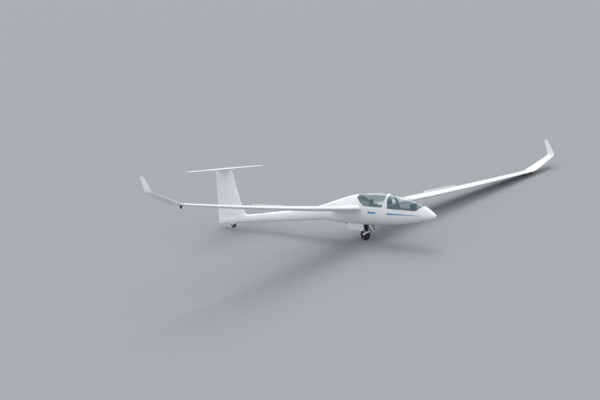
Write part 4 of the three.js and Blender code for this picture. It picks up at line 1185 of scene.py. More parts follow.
def gear_legs():
    reach = WELL.half_width - SEAT_GAP
    bodies = []
    for (station, _, z), radius in ((LEG.top, LEG_TUBE.front_cross), (LEG.back, LEG_TUBE.rear_cross)):
        bodies.append(bar(at(station, -reach, z), at(station, reach, z), radius, 32))
    station, _, z = LEG.foot
    for side in (-1, 1):
        top, foot, back, elbow, knee = [
            on_side(place, side) for place in (LEG.top, LEG.foot, LEG.back, LEG.elbow, LEG.knee)
        ]
        boss_inner, boss_outer = [at(station, side * y, z) for y in (LEG_BOSS.inner, LEG_BOSS.outer)]
        bodies += [
            bar(top, foot, LEG_TUBE.leg, 32),
            bar(top, back, LEG_TUBE.beam, 32),
            bar(elbow, knee, LEG_TUBE.brace, 24),
            collar(top, foot, 0.12, LEG_TUBE.leg + 3),
            collar(top, foot, 0.86, LEG_TUBE.leg + 3),
            collar(elbow, knee, 0.93, LEG_TUBE.brace + 3, 34),
            bevelled(bar(boss_inner, boss_outer, LEG_BOSS.radius, 32), 2),
            bar(boss_outer, boss_outer + ACROSS * side * 8, 12, 6),
        ]
    return union(bodies)


def swing_arm():
    arms = []
    for side in (-1, 1):
        arm = between(rounded(ARM_OUTLINE, 12, 3), side, ARM.inner, ARM.outer)
        recess = between(rounded(ARM_RECESS, 8, 3), side, ARM.outer - 2.5, ARM.outer + 5)
        arms.append(bevelled(without(arm, [recess]), 1.6, 2))
    end = ACROSS * (ARM.outer + 0.4)
    middle = at(LEG.foot[0], 0, LEG.foot[2])
    return union([*arms, bar(middle - end, middle + end, ARM.pivot_tube, 40)])


def shock_strut(side):
    top, foot = on_side(STRUT.top, side), on_side(STRUT.foot, side)
    split = top.lerp(foot, STRUT.split)
    eye_station, eye_height = STRUT.foot[0] - 2, STRUT.foot[2] - 10
    eye_ends = [at(eye_station, side * y, eye_height) for y in (ARM.outer + 0.4, STRUT.foot[1] + 10)]
    return union([
        bar(top, split, STRUT.upper, 32),
        bar(split.lerp(top, 0.1), foot, STRUT.lower, 32),
        collar(top, foot, SPRING.start - 0.02, 17.5, 8),
        collar(top, foot, SPRING.end + 0.02, 17.5, 8),
        bevelled(bar(*eye_ends, STRUT.eye, 40), 2),
    ])


def strut_spring(side):
    top, foot = on_side(STRUT.top, side), on_side(STRUT.foot, side)
    return helix(
        top.lerp(foot, SPRING.start), top.lerp(foot, SPRING.end), SPRING.radius, SPRING.turns, SPRING.wire)


def gear_door(side):
    """A door with three pressed pockets on its inner face."""
    upper = smooth_through((2765, 3200, 3370), (-152, -118, -112))
    lower = smooth_through((2765, 2800, 3370), (-378, -374, -318))
    pockets = []
    for front, rear in DOOR_PANELS:
        outline = [
            (front, upper(front) - DOOR.edge), (rear, upper(rear) - DOOR.edge),
            (rear, lower(rear) + DOOR.edge), (front, lower(front) + DOOR.edge),
        ]
        pockets.append(between(rounded(outline, 26, 5), side, DOOR.inner - 5, DOOR.inner + DOOR.depth))
    skin = between(rounded(DOOR_OUTLINE, 18, 4), side, DOOR.inner, DOOR.outer)
    return bevelled(without(skin, pockets), 1.5, 2)


# Canopy details

def wing_under_open_canopy():
    """The starboard wing as the wide open rear canopy would meet it, raised by the gap between them."""
    start, end, _ = CANOPY_HINGES["rear"]
    wing = wing_panel(-1, -OPEN_CANOPY_GAP)
    turn = Matrix.Rotation(math.radians(REAR_CANOPY_OPENS), 4, (end - start).normalized())
    wing.data.transform(Matrix.Translation(start) @ turn @ Matrix.Translation(-start))
    return wing


WINDOW = [(1235, 300), (1470, 322), (1478, 440), (1300, 418), (1235, 380)]
LOCK_KNOBS = {"front": ((760, 205), (1600, 285)), "rear": ((1830, 318), (2440, 345))}
# Columns: radius, distance out from the rim
LOCK_KNOB_PROFILE = [(0, -2), (6, -2), (6, 9), (13, 12), (14, 22), (11, 26), (0, 26)]
DECK_SEAM = ((3105, 676), (3450, 612))


def on_hull(station, z, side, lift):
    return at(station, side * (hull_width_at(station, z) + lift), z)


def vent_window():
    """The frame of the small sliding window in the port side of the front pane, and its knob."""
    frame_path = [on_hull(station, z, 1, -1) for station, z in rounded(WINDOW, 28)]
    knob = on_hull(1430, 375, 1, 2)
    return merged([tube_along(frame_path, 3.2, 10, closed=True), bar(knob, knob + ACROSS * 7, 8, 20)])


def lock_knobs(places):
    """The canopy's lock knobs on the inside of its port rim."""
    knobs = []
    for station, z in places:
        root = on_hull(station, z, 1, -CANOPY_FRAME_THICKNESS)
        knobs.append(turned(LOCK_KNOB_PROFILE, root, -ACROSS, 24))
    return merged(knobs)


def deck_seam(side):
    """The seam of the deck behind the rear canopy."""
    (first, high), (last, low) = DECK_SEAM
    path = []
    for part in np.linspace(0, 1, 16):
        station = first + (last - first) * part
        path.append(on_hull(station, high + (low - high) * part ** 0.8, side, -1))
    return tube_along(path, 2.6, 8)


# Cockpit

CAVITY_SIDE = -SKIN - SEAT_GAP


def lined_by(body):
    return common(body, [hull_form(CAVITY_SIDE, 110, 4040)])


# The seats in the side view, from the pan's front edge to the top of the back, and where their legs stand
SEATS = {
    "front": ([(1150, -20), (1250, -66), (1420, -84), (1560, 20), (1742, 420)], (1200, 1440)),
    "rear": ([(2110, 20), (2190, -24), (2290, -40), (2370, 50), (2488, 440)], (2150, 2310)),
}
SEAT = SimpleNamespace(half=215, shell=12, lip=14, lip_height=38)
CUSHION = SimpleNamespace(thickness=29, half=186, shorter=0.14, rise=1.5, channels=7, puff=6)
# Columns: up along the seat back, out from its face
HEADREST_STEM = [(0.3, 1), (0.3, 11), (40, 14.5), (52, 14.5), (52, 6), (40, 1)]
HEADREST_PAD = [(50, 7), (56, 37), (62, 40), (144, 41), (154, 32), (154, 11), (146, 7)]


def raised_line(line, lift):
    """A side-view line moved off the seat's face."""
    made = []
    for k, (station, z) in enumerate(line):
        before, after = line[max(0, k - 1)], line[min(len(line) - 1, k + 1)]
        along = Vector(after) - Vector(before)
        along.normalize()
        made.append((station - lift * along.y, z + lift * along.x))
    return made


def band(line, thickness, from_y, to_y):
    return side_prism([*line, *raised_line(line, thickness)[::-1]], from_y, to_y)


def seat_shell(line, feet):
    """A seat shell with raised side lips, on two cross walls that stand on the floor."""
    smooth = eased(line)
    bodies = [band(smooth, SEAT.shell, -SEAT.half, SEAT.half)]
    for side in (-1, 1):
        edges = sorted((side * (SEAT.half - SEAT.lip), side * SEAT.half))
        bodies.append(band(smooth, SEAT.lip_height, *edges))
    for station in feet:
        height = np.interp(station, [place[0] for place in smooth], [place[1] for place in smooth])
        bodies.append(slab(station - 5, station + 5, BELOW, height + 3, SEAT.half - 20))
    return bevelled(lined_by(union(bodies)), 2.5, 2)


def cushion_line(line):
    """The line under a cushion, a little shorter at both ends than its seat."""
    raised = [Vector(place) for place in raised_line(line, SEAT.shell + 1 + CUSHION.rise)]
    first = raised[0].lerp(raised[1], CUSHION.shorter)
    last = raised[-1].lerp(raised[-2], CUSHION.shorter)
    return eased([tuple(place) for place in [first, *raised[1:-1], last]], 50)


def reach_along(line):
    """The distance along a side-view line to each of its points."""
    steps = [(Vector(after) - Vector(before)).length for before, after in zip(line, line[1:])]
    return np.concatenate([[0], np.cumsum(steps)])


def along_and_above(line, points):
    """How far along a side-view line each point lies, and how far above it."""
    places = np.array(line, float)
    steps = np.diff(places, axis=0)
    lengths = np.hypot(*steps.T)
    starts = np.concatenate([[0], np.cumsum(lengths)])[:-1]
    best = np.full(len(points), np.inf)
    along, above = np.zeros(len(points)), np.zeros(len(points))
    for start, step, length, place in zip(places[:-1], steps, lengths, starts):
        away = points - start
        part = np.clip(away @ step / length ** 2, 0, 1)
        gap = np.hypot(*(away - part[:, None] * step).T)
        lift = (away[:, 1] * step[0] - away[:, 0] * step[1]) / length
        nearer = gap < best
        best[nearer] = gap[nearer]
        along[nearer] = (place + part * length)[nearer]
        above[nearer] = lift[nearer]
    return along, above


def places_of(body):
    places = np.empty(3 * len(body.data.vertices))
    body.data.vertices.foreach_get("co", places)
    return places.reshape(-1, 3)


def voxel_copy(body, voxel):
    grid = body.modifiers.new("grid", "REMESH")
    grid.mode = "VOXEL"
    grid.voxel_size = voxel
    return baked(body)


def stuffed(pads):
    """Blows up pads like stuffed covers.

    Each pad is a body, its sewn-down points and how far a point may move.
    """
    sims = []
    for body, sewn, longest in pads:
        rest = places_of(body)
        body.data.transform(Matrix.Scale(0.001, 4))
        group = body.vertex_groups.new(name="sewn")
        group.add([int(k) for k in np.flatnonzero(sewn)], 1.0, "REPLACE")
        cloth = body.modifiers.new("cloth", "CLOTH")
        cloth.point_cache.frame_start, cloth.point_cache.frame_end = 1, 20
        cloth.settings.vertex_group_mass = "sewn"
        cloth.settings.use_pressure = True
        cloth.settings.uniform_pressure_force = 4
        cloth.settings.effector_weights.gravity = 0
        sims.append((body, rest, longest))
    for number in range(1, 21):
        bpy.context.scene.frame_set(number)
    made = []
    for body, rest, longest in sims:
        blown = baked(body)
        moved = places_of(blown) * 1000 - rest
        reach = np.linalg.norm(moved, axis=1, keepdims=True)
        places = rest + moved * np.minimum(1, longest / np.maximum(reach, 1e-6))
        blown.data.vertices.foreach_set("co", places.ravel())
        blown.data.update()
        body.modifiers.clear()
        smoother = blown.modifiers.new("finer", "SUBSURF")
        smoother.levels = 1
        made.append(baked(blown))
    bpy.context.scene.frame_set(1)
    return made


def cushion_pad(line):
    """A seat cushion before stuffing, and which of its points are sewn down."""
    under = cushion_line(line)
    body = voxel_copy(bevelled(band(under, CUSHION.thickness, -CUSHION.half, CUSHION.half), 7, 2), 8)
    points = places_of(body)
    along, above = along_and_above(under, np.column_stack([-points[:, 0], points[:, 2]]))
    length = reach_along(under)[-1]
    pitch = length / CUSHION.channels
    off_channel = np.abs((along + pitch / 2) % pitch - pitch / 2)
    inner = (along > pitch / 2) & (along < length - pitch / 2)
    sewn = (above < 5) | ((above > 18) & inner & (off_channel < 5))
    return body, sewn, CUSHION.puff


def on_back(line, up, out):
    """A side-view place on a seat's back: up along it from its top edge, and out from its face."""
    below, top = Vector(line[-2]), Vector(line[-1])
    along = (top - below).normalized()
    return (top.x + up * along.x - out * along.y, top.y + up * along.y + out * along.x)


def headrest_pad(line):
    outline = [on_back(line, up, out) for up, out in HEADREST_PAD]
    body = voxel_copy(bevelled(side_prism(outline, -71, 71), 8, 2), 5)
    points = places_of(body)
    _, above = along_and_above(
        [on_back(line, 40, 0), on_back(line, 170, 0)], np.column_stack([-points[:, 0], points[:, 2]]))
    return body, above < 10, 3.5


def headrest_stem(line):
    outline = [on_back(line, up, out) for up, out in HEADREST_STEM]
    return bevelled(side_prism(outline, -74, 74), 1.5, 2)


def seat_place(line, along, y, lift):
    """A point over a seat's cushion: along its line, across, and above the line under the cushion."""
    under = cushion_line(line)
    raised = raised_line(under, lift)
    reach = reach_along(under)
    part = np.clip(along, 0, reach[-1])
    station, z = [np.interp(part, reach, [place[k] for place in raised]) for k in (0, 1)]
    return at(station, y, z)


def webbing(path, widths, width, thickness):
    """A flat strap along a path; `widths` gives the direction of its width at each point."""
    rings = []
    for k, (point, aside) in enumerate(zip(path, widths)):
        along = (path[min(k + 1, len(path) - 1)] - path[max(k - 1, 0)]).normalized()
        across = (aside - along * aside.dot(along)).normalized() * width / 2
        up = along.cross(across).normalized() * thickness / 2
        rings.append([point - across - up, point + across - up, point + across + up, point - across + up])
    return loft(rings)


HARNESS = SimpleNamespace(width=44, lap_width=46, thickness=2.2, lift=38.5, buckle=0.40, shoulder=62)
# How far along the seat the shoulder straps' adjusters lie, as a share of its length
ADJUSTER_PLACE = 0.78


def cushion_length(line):
    return reach_along(cushion_line(line))[-1]


def harness(line):
    """Two shoulder straps and two lap straps that meet at a buckle, lying on the cushion."""
    length = cushion_length(line)
    middle = HARNESS.buckle * length
    straps = []
    for side in (-1, 1):
        path = []
        for part in np.linspace(1.0, 0, 26):
            along = middle + 26 + part * (length - middle - 30)
            y = side * (HARNESS.shoulder * min(1, 0.25 + 1.4 * part) + 8 * part)
            path.append(seat_place(line, along, y, HARNESS.lift))
        straps.append(webbing(path, [ACROSS] * len(path), HARNESS.width, HARNESS.thickness))
        path = []
        aside = []
        for part in np.linspace(1.0, 0, 16):
            along = middle + 70 * part ** 1.5
            y = side * (24 + part * (SEAT.half - SEAT.lip - 32))
            lift = HARNESS.lift - 6 * max(0, part - 0.85) / 0.15
            path.append(seat_place(line, along, y, lift + 1.2))
            aside.append(seat_place(line, along + 5, y, lift) - seat_place(line, along - 5, y, lift))
        straps.append(webbing(path, aside, HARNESS.lap_width, HARNESS.thickness))
    return merged(straps)


def buckle(line):
    """The round release of the harness, with its turning cross."""
    middle = HARNESS.buckle * cushion_length(line)
    base = seat_place(line, middle, 0, HARNESS.lift)
    out = (seat_place(line, middle, 0, HARNESS.lift + 10) - base).normalized()
    disc = turned([(0, 1), (29, 1), (31, 4), (31, 11), (28, 14), (12, 15), (0, 15)], base, out, 40)
    along = out.cross(ACROSS)
    turns = ((along, ACROSS, out), (ACROSS, along, out))
    cross = [block(base + out * 16, axes, (44, 7, 5)) for axes in turns]
    adjusters = []
    for side in (-1, 1):
        along_line = ADJUSTER_PLACE * cushion_length(line)
        place = seat_place(line, along_line, side * (HARNESS.shoulder + 5), HARNESS.lift + 3)
        axes = (Vector((0.5, 0, 0.87)), ACROSS, Vector((0.87, 0, -0.5)))
        adjusters.append(block(place, axes, (26, 52, 5)))
    return merged([disc, *[bevelled(body, 1, 2) for body in [*cross, *adjusters]]])


# Instrument panels: a board that faces back, and where its pedestal stands
PANELS = {
    "front": ([(860, 160), (885, 160), (905, 395), (790, 430), (770, 400), (865, 385)], (800, 880)),
    "rear": ([(1878, 250), (1900, 250), (1912, 540), (1892, 540)], (1880, 1960)),
}
PANEL_HALF = 150
# Columns: across, up the board, radius, and where its needle points in degrees
DIALS = [
    [-52, 182, 38, 40], [52, 182, 38, 200], [-112, 150, 24, 120], [112, 150, 24, 300],
    [-46, 92, 38, 310], [46, 92, 38, 90], [-110, 84, 24, 20], [110, 84, 24, 160],
]


def panel_board(board, foot):
    column = slab(foot[0], foot[1], BELOW, board[0][1] + 20, 55)
    high = max(z for _, z in board)
    outline = [(-PANEL_HALF, BELOW), (PANEL_HALF, BELOW), (PANEL_HALF, high + 1), (-PANEL_HALF, high + 1)]
    body = union([side_prism(board, -PANEL_HALF, PANEL_HALF), column])
    shaped = common(lined_by(body), [front_prism(rounded(outline, 75), 700, 2100)])
    return bevelled(shaped, 3, 2)


def dials(board):
    """Instruments on a board's rear face: their bezels, their faces, and their marks and needles."""
    low, high = [at(station, 0, z) for station, z in board[1:3]]
    up = (high - low).normalized()
    out = up.cross(ACROSS)
    bezels, faces, marks = [], [], []
    for across, above, radius, points_to in DIALS:
        centre = low + ACROSS * across + up * above
        bezels.append(turned(
            [(radius - 6, 0.1), (radius, 0.1), (radius, 4), (radius - 2.5, 6.5), (radius - 6, 6.5)],
            centre, out, 36))
        faces.append(turned([(0, 0.1), (radius - 6.2, 0.1), (radius - 6.2, 2), (0, 2)], centre, out, 36))
        for k in range(12):
            turn = math.radians(30 * k)
            way = ACROSS * math.cos(turn) + up * math.sin(turn)
            size = (5 if k % 3 else 8, 1.3, 0.8)
            marks.append(block(centre + way * (radius - 12) + out * 2.3, (way, out.cross(way), out), size))
        turn = math.radians(points_to)
        way = ACROSS * math.cos(turn) + up * math.sin(turn)
        middle = centre + way * radius * 0.26 + out * 3.6
        marks.append(block(middle, (way, out.cross(way), out), (radius * 0.7, 2, 1)))
        marks.append(turned([(0, 2), (3, 2), (3, 4.8), (0, 4.8)], centre, out, 12))
    for k in range(5):
        place = low + ACROSS * (k - 2) * 32 + up * 30
        bezels.append(bar(place, place + out * 13, 5, 16))
        bezels.append(bar(place, place + out * 3, 8, 6))
    return merged(bezels), merged(faces), merged(marks)


# Sticks
STICKS = {
    "front": ((1080, -60), (1055, 60), (1080, 190)),
    "rear": ((2040, -20), (2012, 110), (2035, 240)),
}


def stick_places(stick, low, high, steps):
    """Points on the smooth line of a stick between two parts of its length."""
    foot, knee, top = [at(station, 0, z) for station, z in stick]
    return [curve_through(foot, knee, top, part) for part in np.linspace(low, high, steps)]


def stick_parts(stick):
    """A stick's tube on its block, its rubber boot, and its grip."""
    (station, z), _, _ = stick
    base = bevelled(lined_by(slab(station - 25, station + 25, BELOW, z + 12, 22)), 2, 2)
    tube = tube_along(stick_places(stick, 0, 0.75, 24), 8.5, 20)
    foot = at(station, 0, z + 12)
    folds = [(0, 0)]
    for k in range(13):
        part = k / 12
        folds.append((21 - 11 * part + (2.2 if k % 2 else -0.8), 1 + 52 * part))
    boot = turned([*folds, (0, 53)], foot, Vector((0, 0, 1)), 32)
    grip_path = stick_places(stick, 0.66, 0.995, 14)
    widths = [11, 14, 13, 14.5, 13.2, 14.8, 13.4, 14.8, 13.2, 14.6, 13.6, 15, 14.6, 11]
    grip = tube_along(grip_path, widths, 24)
    head = grip_path[-1]
    square = (Vector((1, 0, 0)), ACROSS, Vector((0, 0, 1)))
    trigger = block(grip_path[-4] + Vector((14, 0, 0)), square, (9, 9, 24))
    button = bar(head, head + Vector((0, 0, 5)), 5, 20)
    return union([base, tube]), boot, merged([grip, bevelled(trigger, 2.5, 2)]), button


def side_wall(station, z):
    """The inner face of the port cockpit wall."""
    return hull_width_at(station, z) - SKIN


CONTROL_ROWS = {"front": (1180, 1440, 70), "rear": (2060, 2260, 105)}


def side_rods(start, end, z):
    """A push rod in brackets along the port wall, with the airbrake and trim levers' stems on it."""
    bodies = []
    reach = min(side_wall(start, z), side_wall(end, z)) - 26
    bodies.append(bar(at(start - 20, reach, z), at(end + 20, reach, z), 6, 20))
    for station in (start, end):
        plate = [(station - 9, z - 14), (station + 9, z - 14), (station + 9, z + 14), (station - 9, z + 14)]
        bodies.append(side_prism(rounded(plate, 6, 3), reach - 9, side_wall(station, z) + 3))
    return bodies, reach


def lever(foot, head, radius, grip_part):
    """A lever's stem and its grip."""
    start = foot.lerp(head, 1 - grip_part)
    beyond = head + (head - foot).normalized() * 4
    grip = tube_along([start, start.lerp(head, 0.15), start.lerp(head, 0.5), head, beyond],
                      [radius * 0.8, radius * 1.7, radius * 1.5, radius * 1.8, radius], 20)
    return bar(foot, head, radius * 0.6, 16), grip


PEDALS = {"front": (655, 92, -84), "rear": (1850, 128, -150)}


def pedals(station, y, floor):
    """Two pedals with toe loops on a cross tube between the cockpit walls."""
    height = floor + 22
    reach = hull_width_at(station, height) - SKIN + 2
    bodies = [bar(at(station, -reach, height), at(station, reach, height), 9, 20)]
    for side in (-1, 1):
        plate = [(station - 8, height - 6), (station + 6, height - 6), (station - 30, height + 108),
                 (station - 38, height + 104)]
        bodies.append(bevelled(side_prism(rounded(plate, 4, 2), side * y - 36, side * y + 36), 1.5, 2))
        loop = [
            at(station - 26 + 34 * math.sin(turn), side * y + 34 * math.cos(turn), height + 78)
            for turn in np.linspace(0, math.pi, 14)
        ]
        bodies.append(tube_along(loop, 3.2, 10))
    return merged(bodies)


# Materials

def shader_of(name):
    made = bpy.data.materials.new(name)
    made.use_nodes = True
    nodes = made.node_tree.nodes
    return made, nodes, made.node_tree.links, nodes["Principled BSDF"]


def finish(name, colour, roughness, metallic=0.0, **inputs):
    """A plain finish; further inputs of the shader are given by name, with _ for a space."""
    made, _, _, shader = shader_of(name)
    shader.inputs["Base Color"].default_value = (*colour, 1)
    shader.inputs["Roughness"].default_value = roughness
    shader.inputs["Metallic"].default_value = metallic
    for key, value in inputs.items():
        shader.inputs[key.replace("_", " ")].default_value = value
    return made


def place_on_craft(nodes):
    place = nodes.new("ShaderNodeAttribute")
    place.attribute_name = "craft"
    return place.outputs["Vector"]


def noise_of(nodes, links, scale, detail=3.0, roughness=0.5):
    """Noise that is fixed to the piece; the scale is in waves a metre."""
    texture = nodes.new("ShaderNodeTexNoise")
    texture.inputs["Scale"].default_value = scale
    texture.inputs["Detail"].default_value = detail
    texture.inputs["Roughness"].default_value = roughness
    place = nodes.new("ShaderNodeTexCoord")
    links.new(place.outputs["Object"], texture.inputs["Vector"])
    return texture.outputs["Fac"]


def ramp(nodes, links, source, stops):
    """A colour ramp from [place, grey or colour] stops."""
    made = nodes.new("ShaderNodeValToRGB")
    elements = made.color_ramp.elements
    while len(elements) < len(stops):
        elements.new(0.5)
    for element, (place, value) in zip(elements, stops):
        element.position = place
        element.color = (*value, 1) if isinstance(value, tuple) else (value, value, value, 1)
    links.new(source, made.inputs["Fac"])
    return made.outputs["Color"]


def bumped(material, scale, strength, distance, detail=3.0):
    """Adds a fine relief to a finish."""
    nodes, links = material.node_tree.nodes, material.node_tree.links
    bump = nodes.new("ShaderNodeBump")
    bump.inputs["Strength"].default_value = strength
    bump.inputs["Distance"].default_value = distance
    links.new(noise_of(nodes, links, scale, detail), bump.inputs["Height"])
    links.new(bump.outputs["Normal"], nodes["Principled BSDF"].inputs["Normal"])
    return material


def uneven(material, low, high, scale, detail=4.0):
    """Lets the gloss of a finish change softly from place to place."""
    nodes, links = material.node_tree.nodes, material.node_tree.links
    source = noise_of(nodes, links, scale, detail)
    gloss = ramp(nodes, links, source, [(0.3, low), (0.7, high)])
    links.new(gloss, nodes["Principled BSDF"].inputs["Roughness"])
    return material


def math_node(nodes, links, operation, first, second=None):
    made = nodes.new("ShaderNodeMath")
    made.operation = operation
    for socket, value in zip(made.inputs, (first, second)):
        if isinstance(value, (int, float)):
            socket.default_value = value
        elif value is not None:
            links.new(value, socket)
    return made.outputs["Value"]


def line_between(nodes, links, station, start, end):
    """A value that changes evenly along the craft between two [station, value] pairs, level beyond them."""
    made = nodes.new("ShaderNodeMapRange")
    made.clamp = True
    for socket, value in zip(("From Min", "To Min", "From Max", "To Max"), (*start, *end)):
        made.inputs[socket].default_value = value
    links.new(station, made.inputs["Value"])
    return made.outputs["Result"]


# Stripes on the fuselage's sides, metres: station, height of the middle and half height at both ends
STRIPES = [
    ((0.45, 0.037, 0.003), (1.67, 0.138, 0.032)),
    ((2.085, 0.176, 0.033), (2.40, 0.196, 0.033)),
]
STRIPE_BLUE = (0.10, 0.33, 0.56)
GELCOAT_WHITE = (0.86, 0.87, 0.87)
GELCOAT_SHADED = (0.81, 0.82, 0.82)


def striped_gelcoat():
    """White gelcoat with the blue stripes on the fuselage's sides."""
    made = gelcoat_finish("fuselage gelcoat")
    nodes, links = made.node_tree.nodes, made.node_tree.links
    apart = nodes.new("ShaderNodeSeparateXYZ")
    links.new(place_on_craft(nodes), apart.inputs["Vector"])
    station, height = apart.outputs["X"], apart.outputs["Z"]
    inside = None
    for (first, first_z, first_half), (last, last_z, last_half) in STRIPES:
        middle = line_between(nodes, links, station, (first, first_z), (last, last_z))
        half = line_between(nodes, links, station, (first, first_half), (last, last_half))
        away = math_node(nodes, links, "ABSOLUTE", math_node(nodes, links, "SUBTRACT", height, middle))
        band = math_node(nodes, links, "LESS_THAN", away, half)
        after = math_node(nodes, links, "GREATER_THAN", station, first)
        before = math_node(nodes, links, "LESS_THAN", station, last)
        part = math_node(nodes, links, "MULTIPLY", math_node(nodes, links, "MULTIPLY", after, before), band)
        inside = part if inside is None else math_node(nodes, links, "ADD", inside, part)
    white = nodes["Principled BSDF"].inputs["Base Color"].links[0].from_socket
    mix = nodes.new("ShaderNodeMix")
    mix.data_type = "RGBA"
    links.new(inside, mix.inputs["Factor"])
    links.new(white, mix.inputs["A"])
    mix.inputs["B"].default_value = (*STRIPE_BLUE, 1)
    links.new(mix.outputs["Result"], nodes["Principled BSDF"].inputs["Base Color"])
    return made


def gelcoat_finish(name):
    made = finish(name, GELCOAT_WHITE, 0.22, Coat_Weight=0.5, Coat_Roughness=0.05, IOR=1.5)
    nodes, links = made.node_tree.nodes, made.node_tree.links
    shades = [(0.1, GELCOAT_SHADED), (0.9, GELCOAT_WHITE)]
    tone = ramp(nodes, links, noise_of(nodes, links, 0.9, 0.5), shades)
    links.new(tone, nodes["Principled BSDF"].inputs["Base Color"])
    return uneven(made, 0.19, 0.25, 2.0, 1.0)


gelcoat = gelcoat_finish("white gelcoat")
fuselage_gelcoat = striped_gelcoat()
canopy_glass = uneven(
    finish("tinted canopy", (0.10, 0.24, 0.26), 0.02, Alpha=0.2, IOR=2.1), 0.015, 0.03, 1.5, 1.0)
lining = bumped(finish("grey lining", (0.30, 0.315, 0.33), 0.75), 140, 0.25, 0.002)
painted_steel = finish("painted steel", (0.028, 0.03, 0.033), 0.4, 0.3)
dark_metal = uneven(bumped(painted_steel, 300, 0.1, 0.001), 0.34, 0.5, 20)
light_metal = uneven(finish("bare alloy", (0.62, 0.63, 0.65), 0.35, 0.9), 0.28, 0.42, 25)
tyre_rubber = bumped(finish("tyre rubber", (0.02, 0.02, 0.021), 0.82), 180, 0.3, 0.001)
black_rubber = uneven(finish("black rubber", (0.018, 0.018, 0.019), 0.7), 0.6, 0.8, 30)
black_plastic = bumped(finish("black plastic", (0.022, 0.023, 0.025), 0.5), 900, 0.2, 0.0006)
cushion_cloth = bumped(finish("cushion cloth", (0.05, 0.065, 0.10), 0.95), 700, 0.5, 0.001)
seat_grey = uneven(bumped(finish("seat shell", (0.19, 0.2, 0.215), 0.6), 200, 0.15, 0.001), 0.5, 0.7, 14)
headrest_cloth = bumped(finish("headrest cover", (0.035, 0.037, 0.042), 0.85), 800, 0.4, 0.0008)
strap_web = bumped(finish("harness webbing", (0.24, 0.27, 0.32), 0.8), 1200, 0.5, 0.0006)
dial_black = uneven(finish("dial face", (0.012, 0.012, 0.013), 0.4), 0.3, 0.5, 60)
mark_white = uneven(finish("dial marks", (0.8, 0.8, 0.78), 0.5), 0.4, 0.6, 60)
KNOB_COLOURS = {"red": (0.45, 0.02, 0.02), "blue": (0.02, 0.08, 0.40), "green": (0.02, 0.25, 0.06)}
knob_red, knob_blue, knob_green = [
    uneven(finish(f"{name} knob", colour, 0.35), 0.28, 0.42, 40) for name, colour in KNOB_COLOURS.items()
]
# Near-black bay finish: dirt with painted shade, standing in for the shade inside the wheel bay, the tail
# wheel's well and behind the doors
bay_dirt_and_shade = uneven(finish("bay dirt and painted shade", (0.03, 0.031, 0.034), 0.7), 0.6, 0.8, 9)
moulded_grey = finish("grey plastic", (0.14, 0.145, 0.15), 0.5)
grey_plastic = uneven(bumped(moulded_grey, 260, 0.1, 0.001), 0.42, 0.58, 30)


# Stage values: the key light's direction is in the craft's frame
FLOOR_COLOUR = (0.265, 0.275, 0.285)
SKY = [(0.0, (0.88, 0.91, 0.95)), (0.3, (0.92, 0.95, 0.98)), (1.0, (0.97, 0.985, 1.0))]
SKY_STRENGTH = 1.05
KEY = SimpleNamespace(towards=(-0.45, 0.44, 0.78), energy=1.6, angle=36, colour=(1.0, 0.985, 0.96))


# Pieces: a body that was made in the craft's frame becomes an object of the scene

def piece(name, body, material, rides_on="airframe", stands_for=(), smooth=35, others=()):
    """Shows a body.

    Each of `others` is a material and the function that tells which faces get it, from the station, y and
    height of their middles.
    """
    mesh = body.data.copy()
    mesh.name = name
    places = np.empty(3 * len(mesh.vertices), np.float32)
    mesh.vertices.foreach_get("co", places)
    craft = (places.reshape(-1, 3) * np.array([-0.001, 0.001, 0.001], np.float32)).ravel()
    mesh.attributes.new("craft", "FLOAT_VECTOR", "POINT").data.foreach_set("vector", craft)
    mesh.materials.clear()
    mesh.materials.append(material)
    centres = np.empty(3 * len(mesh.polygons), np.float32)
    mesh.polygons.foreach_get("center", centres)
    ahead, y, z = centres.reshape(-1, 3).T
    index = np.zeros(len(mesh.polygons), np.int32)
    for number, (other, chosen) in enumerate(others, 1):
        mesh.materials.append(other)
        index[chosen(-ahead, y, z)] = number
    mesh.polygons.foreach_set("material_index", index)
    mesh.transform(WORLD)
    mesh.shade_smooth()
    mesh.set_sharp_from_angle(angle=math.radians(smooth))
    made = bpy.data.objects.new(name, mesh)
    bpy.context.scene.collection.objects.link(made)
    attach(made, rides_on)
    if stands_for:
        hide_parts(*stands_for)
    return made


def gelcoat_piece(name, body, node, rides_on="airframe"):
    piece(name, body, gelcoat, rides_on, (node,))


def deeper_than(depth):
    return lambda station, y, z: depth_below_skin(station, y, z) > depth


# The wheel bay's faces, which get the near-black finish of dirt and painted shade
def in_wheel_bay(station, y, z):
    inside = (station > WELL.front - 1) & (station < WELL.rear + 1) & (z < WELL.roof + 1)
    return inside & (np.abs(y) < WELL.half_width + 1) & (depth_below_skin(station, y, z) > 4)


NOSE_CAP = 4


def at_nose_tip(station, y, z):
    return station < NOSE_CAP


# The tail wheel's well, which gets the near-black finish of dirt and painted shade
def in_tail_well(station, y, z):
    along = np.abs(station - TAIL_WHEEL.station) < TAIL_WELL.half + 1
    return along & (np.abs(y) < TAIL_WELL.half_width + 1) & (z < TAIL_WELL.roof + 1) & (z > -40)


# The doors' inner faces, which get the near-black finish of dirt and painted shade
def inside_of_door(station, y, z):
    out = np.abs(y)
    return (out < DOOR.inner + DOOR.depth - 2.5) | (np.abs(out - DOOR.inner - DOOR.depth) < 0.6)


front_ears, front_lugs = canopy_knuckles(CANOPY_HINGES["front"])
rear_ears, rear_lugs = canopy_knuckles(CANOPY_HINGES["rear"])
# The fuselage's inside gets the grey lining; its wheel bay and tail well get the near-black finish of dirt
# and painted shade
piece(
    "fuselage", fuselage_body(front_ears, rear_ears), fuselage_gelcoat,
    stands_for=("fuselage_cockpit", "fuselage_centre", "tail_boom", "fin"),
    others=((lining, deeper_than(18)), (bay_dirt_and_shade, in_wheel_bay), (bay_dirt_and_shade, in_tail_well),
            (black_plastic, at_nose_tip)))

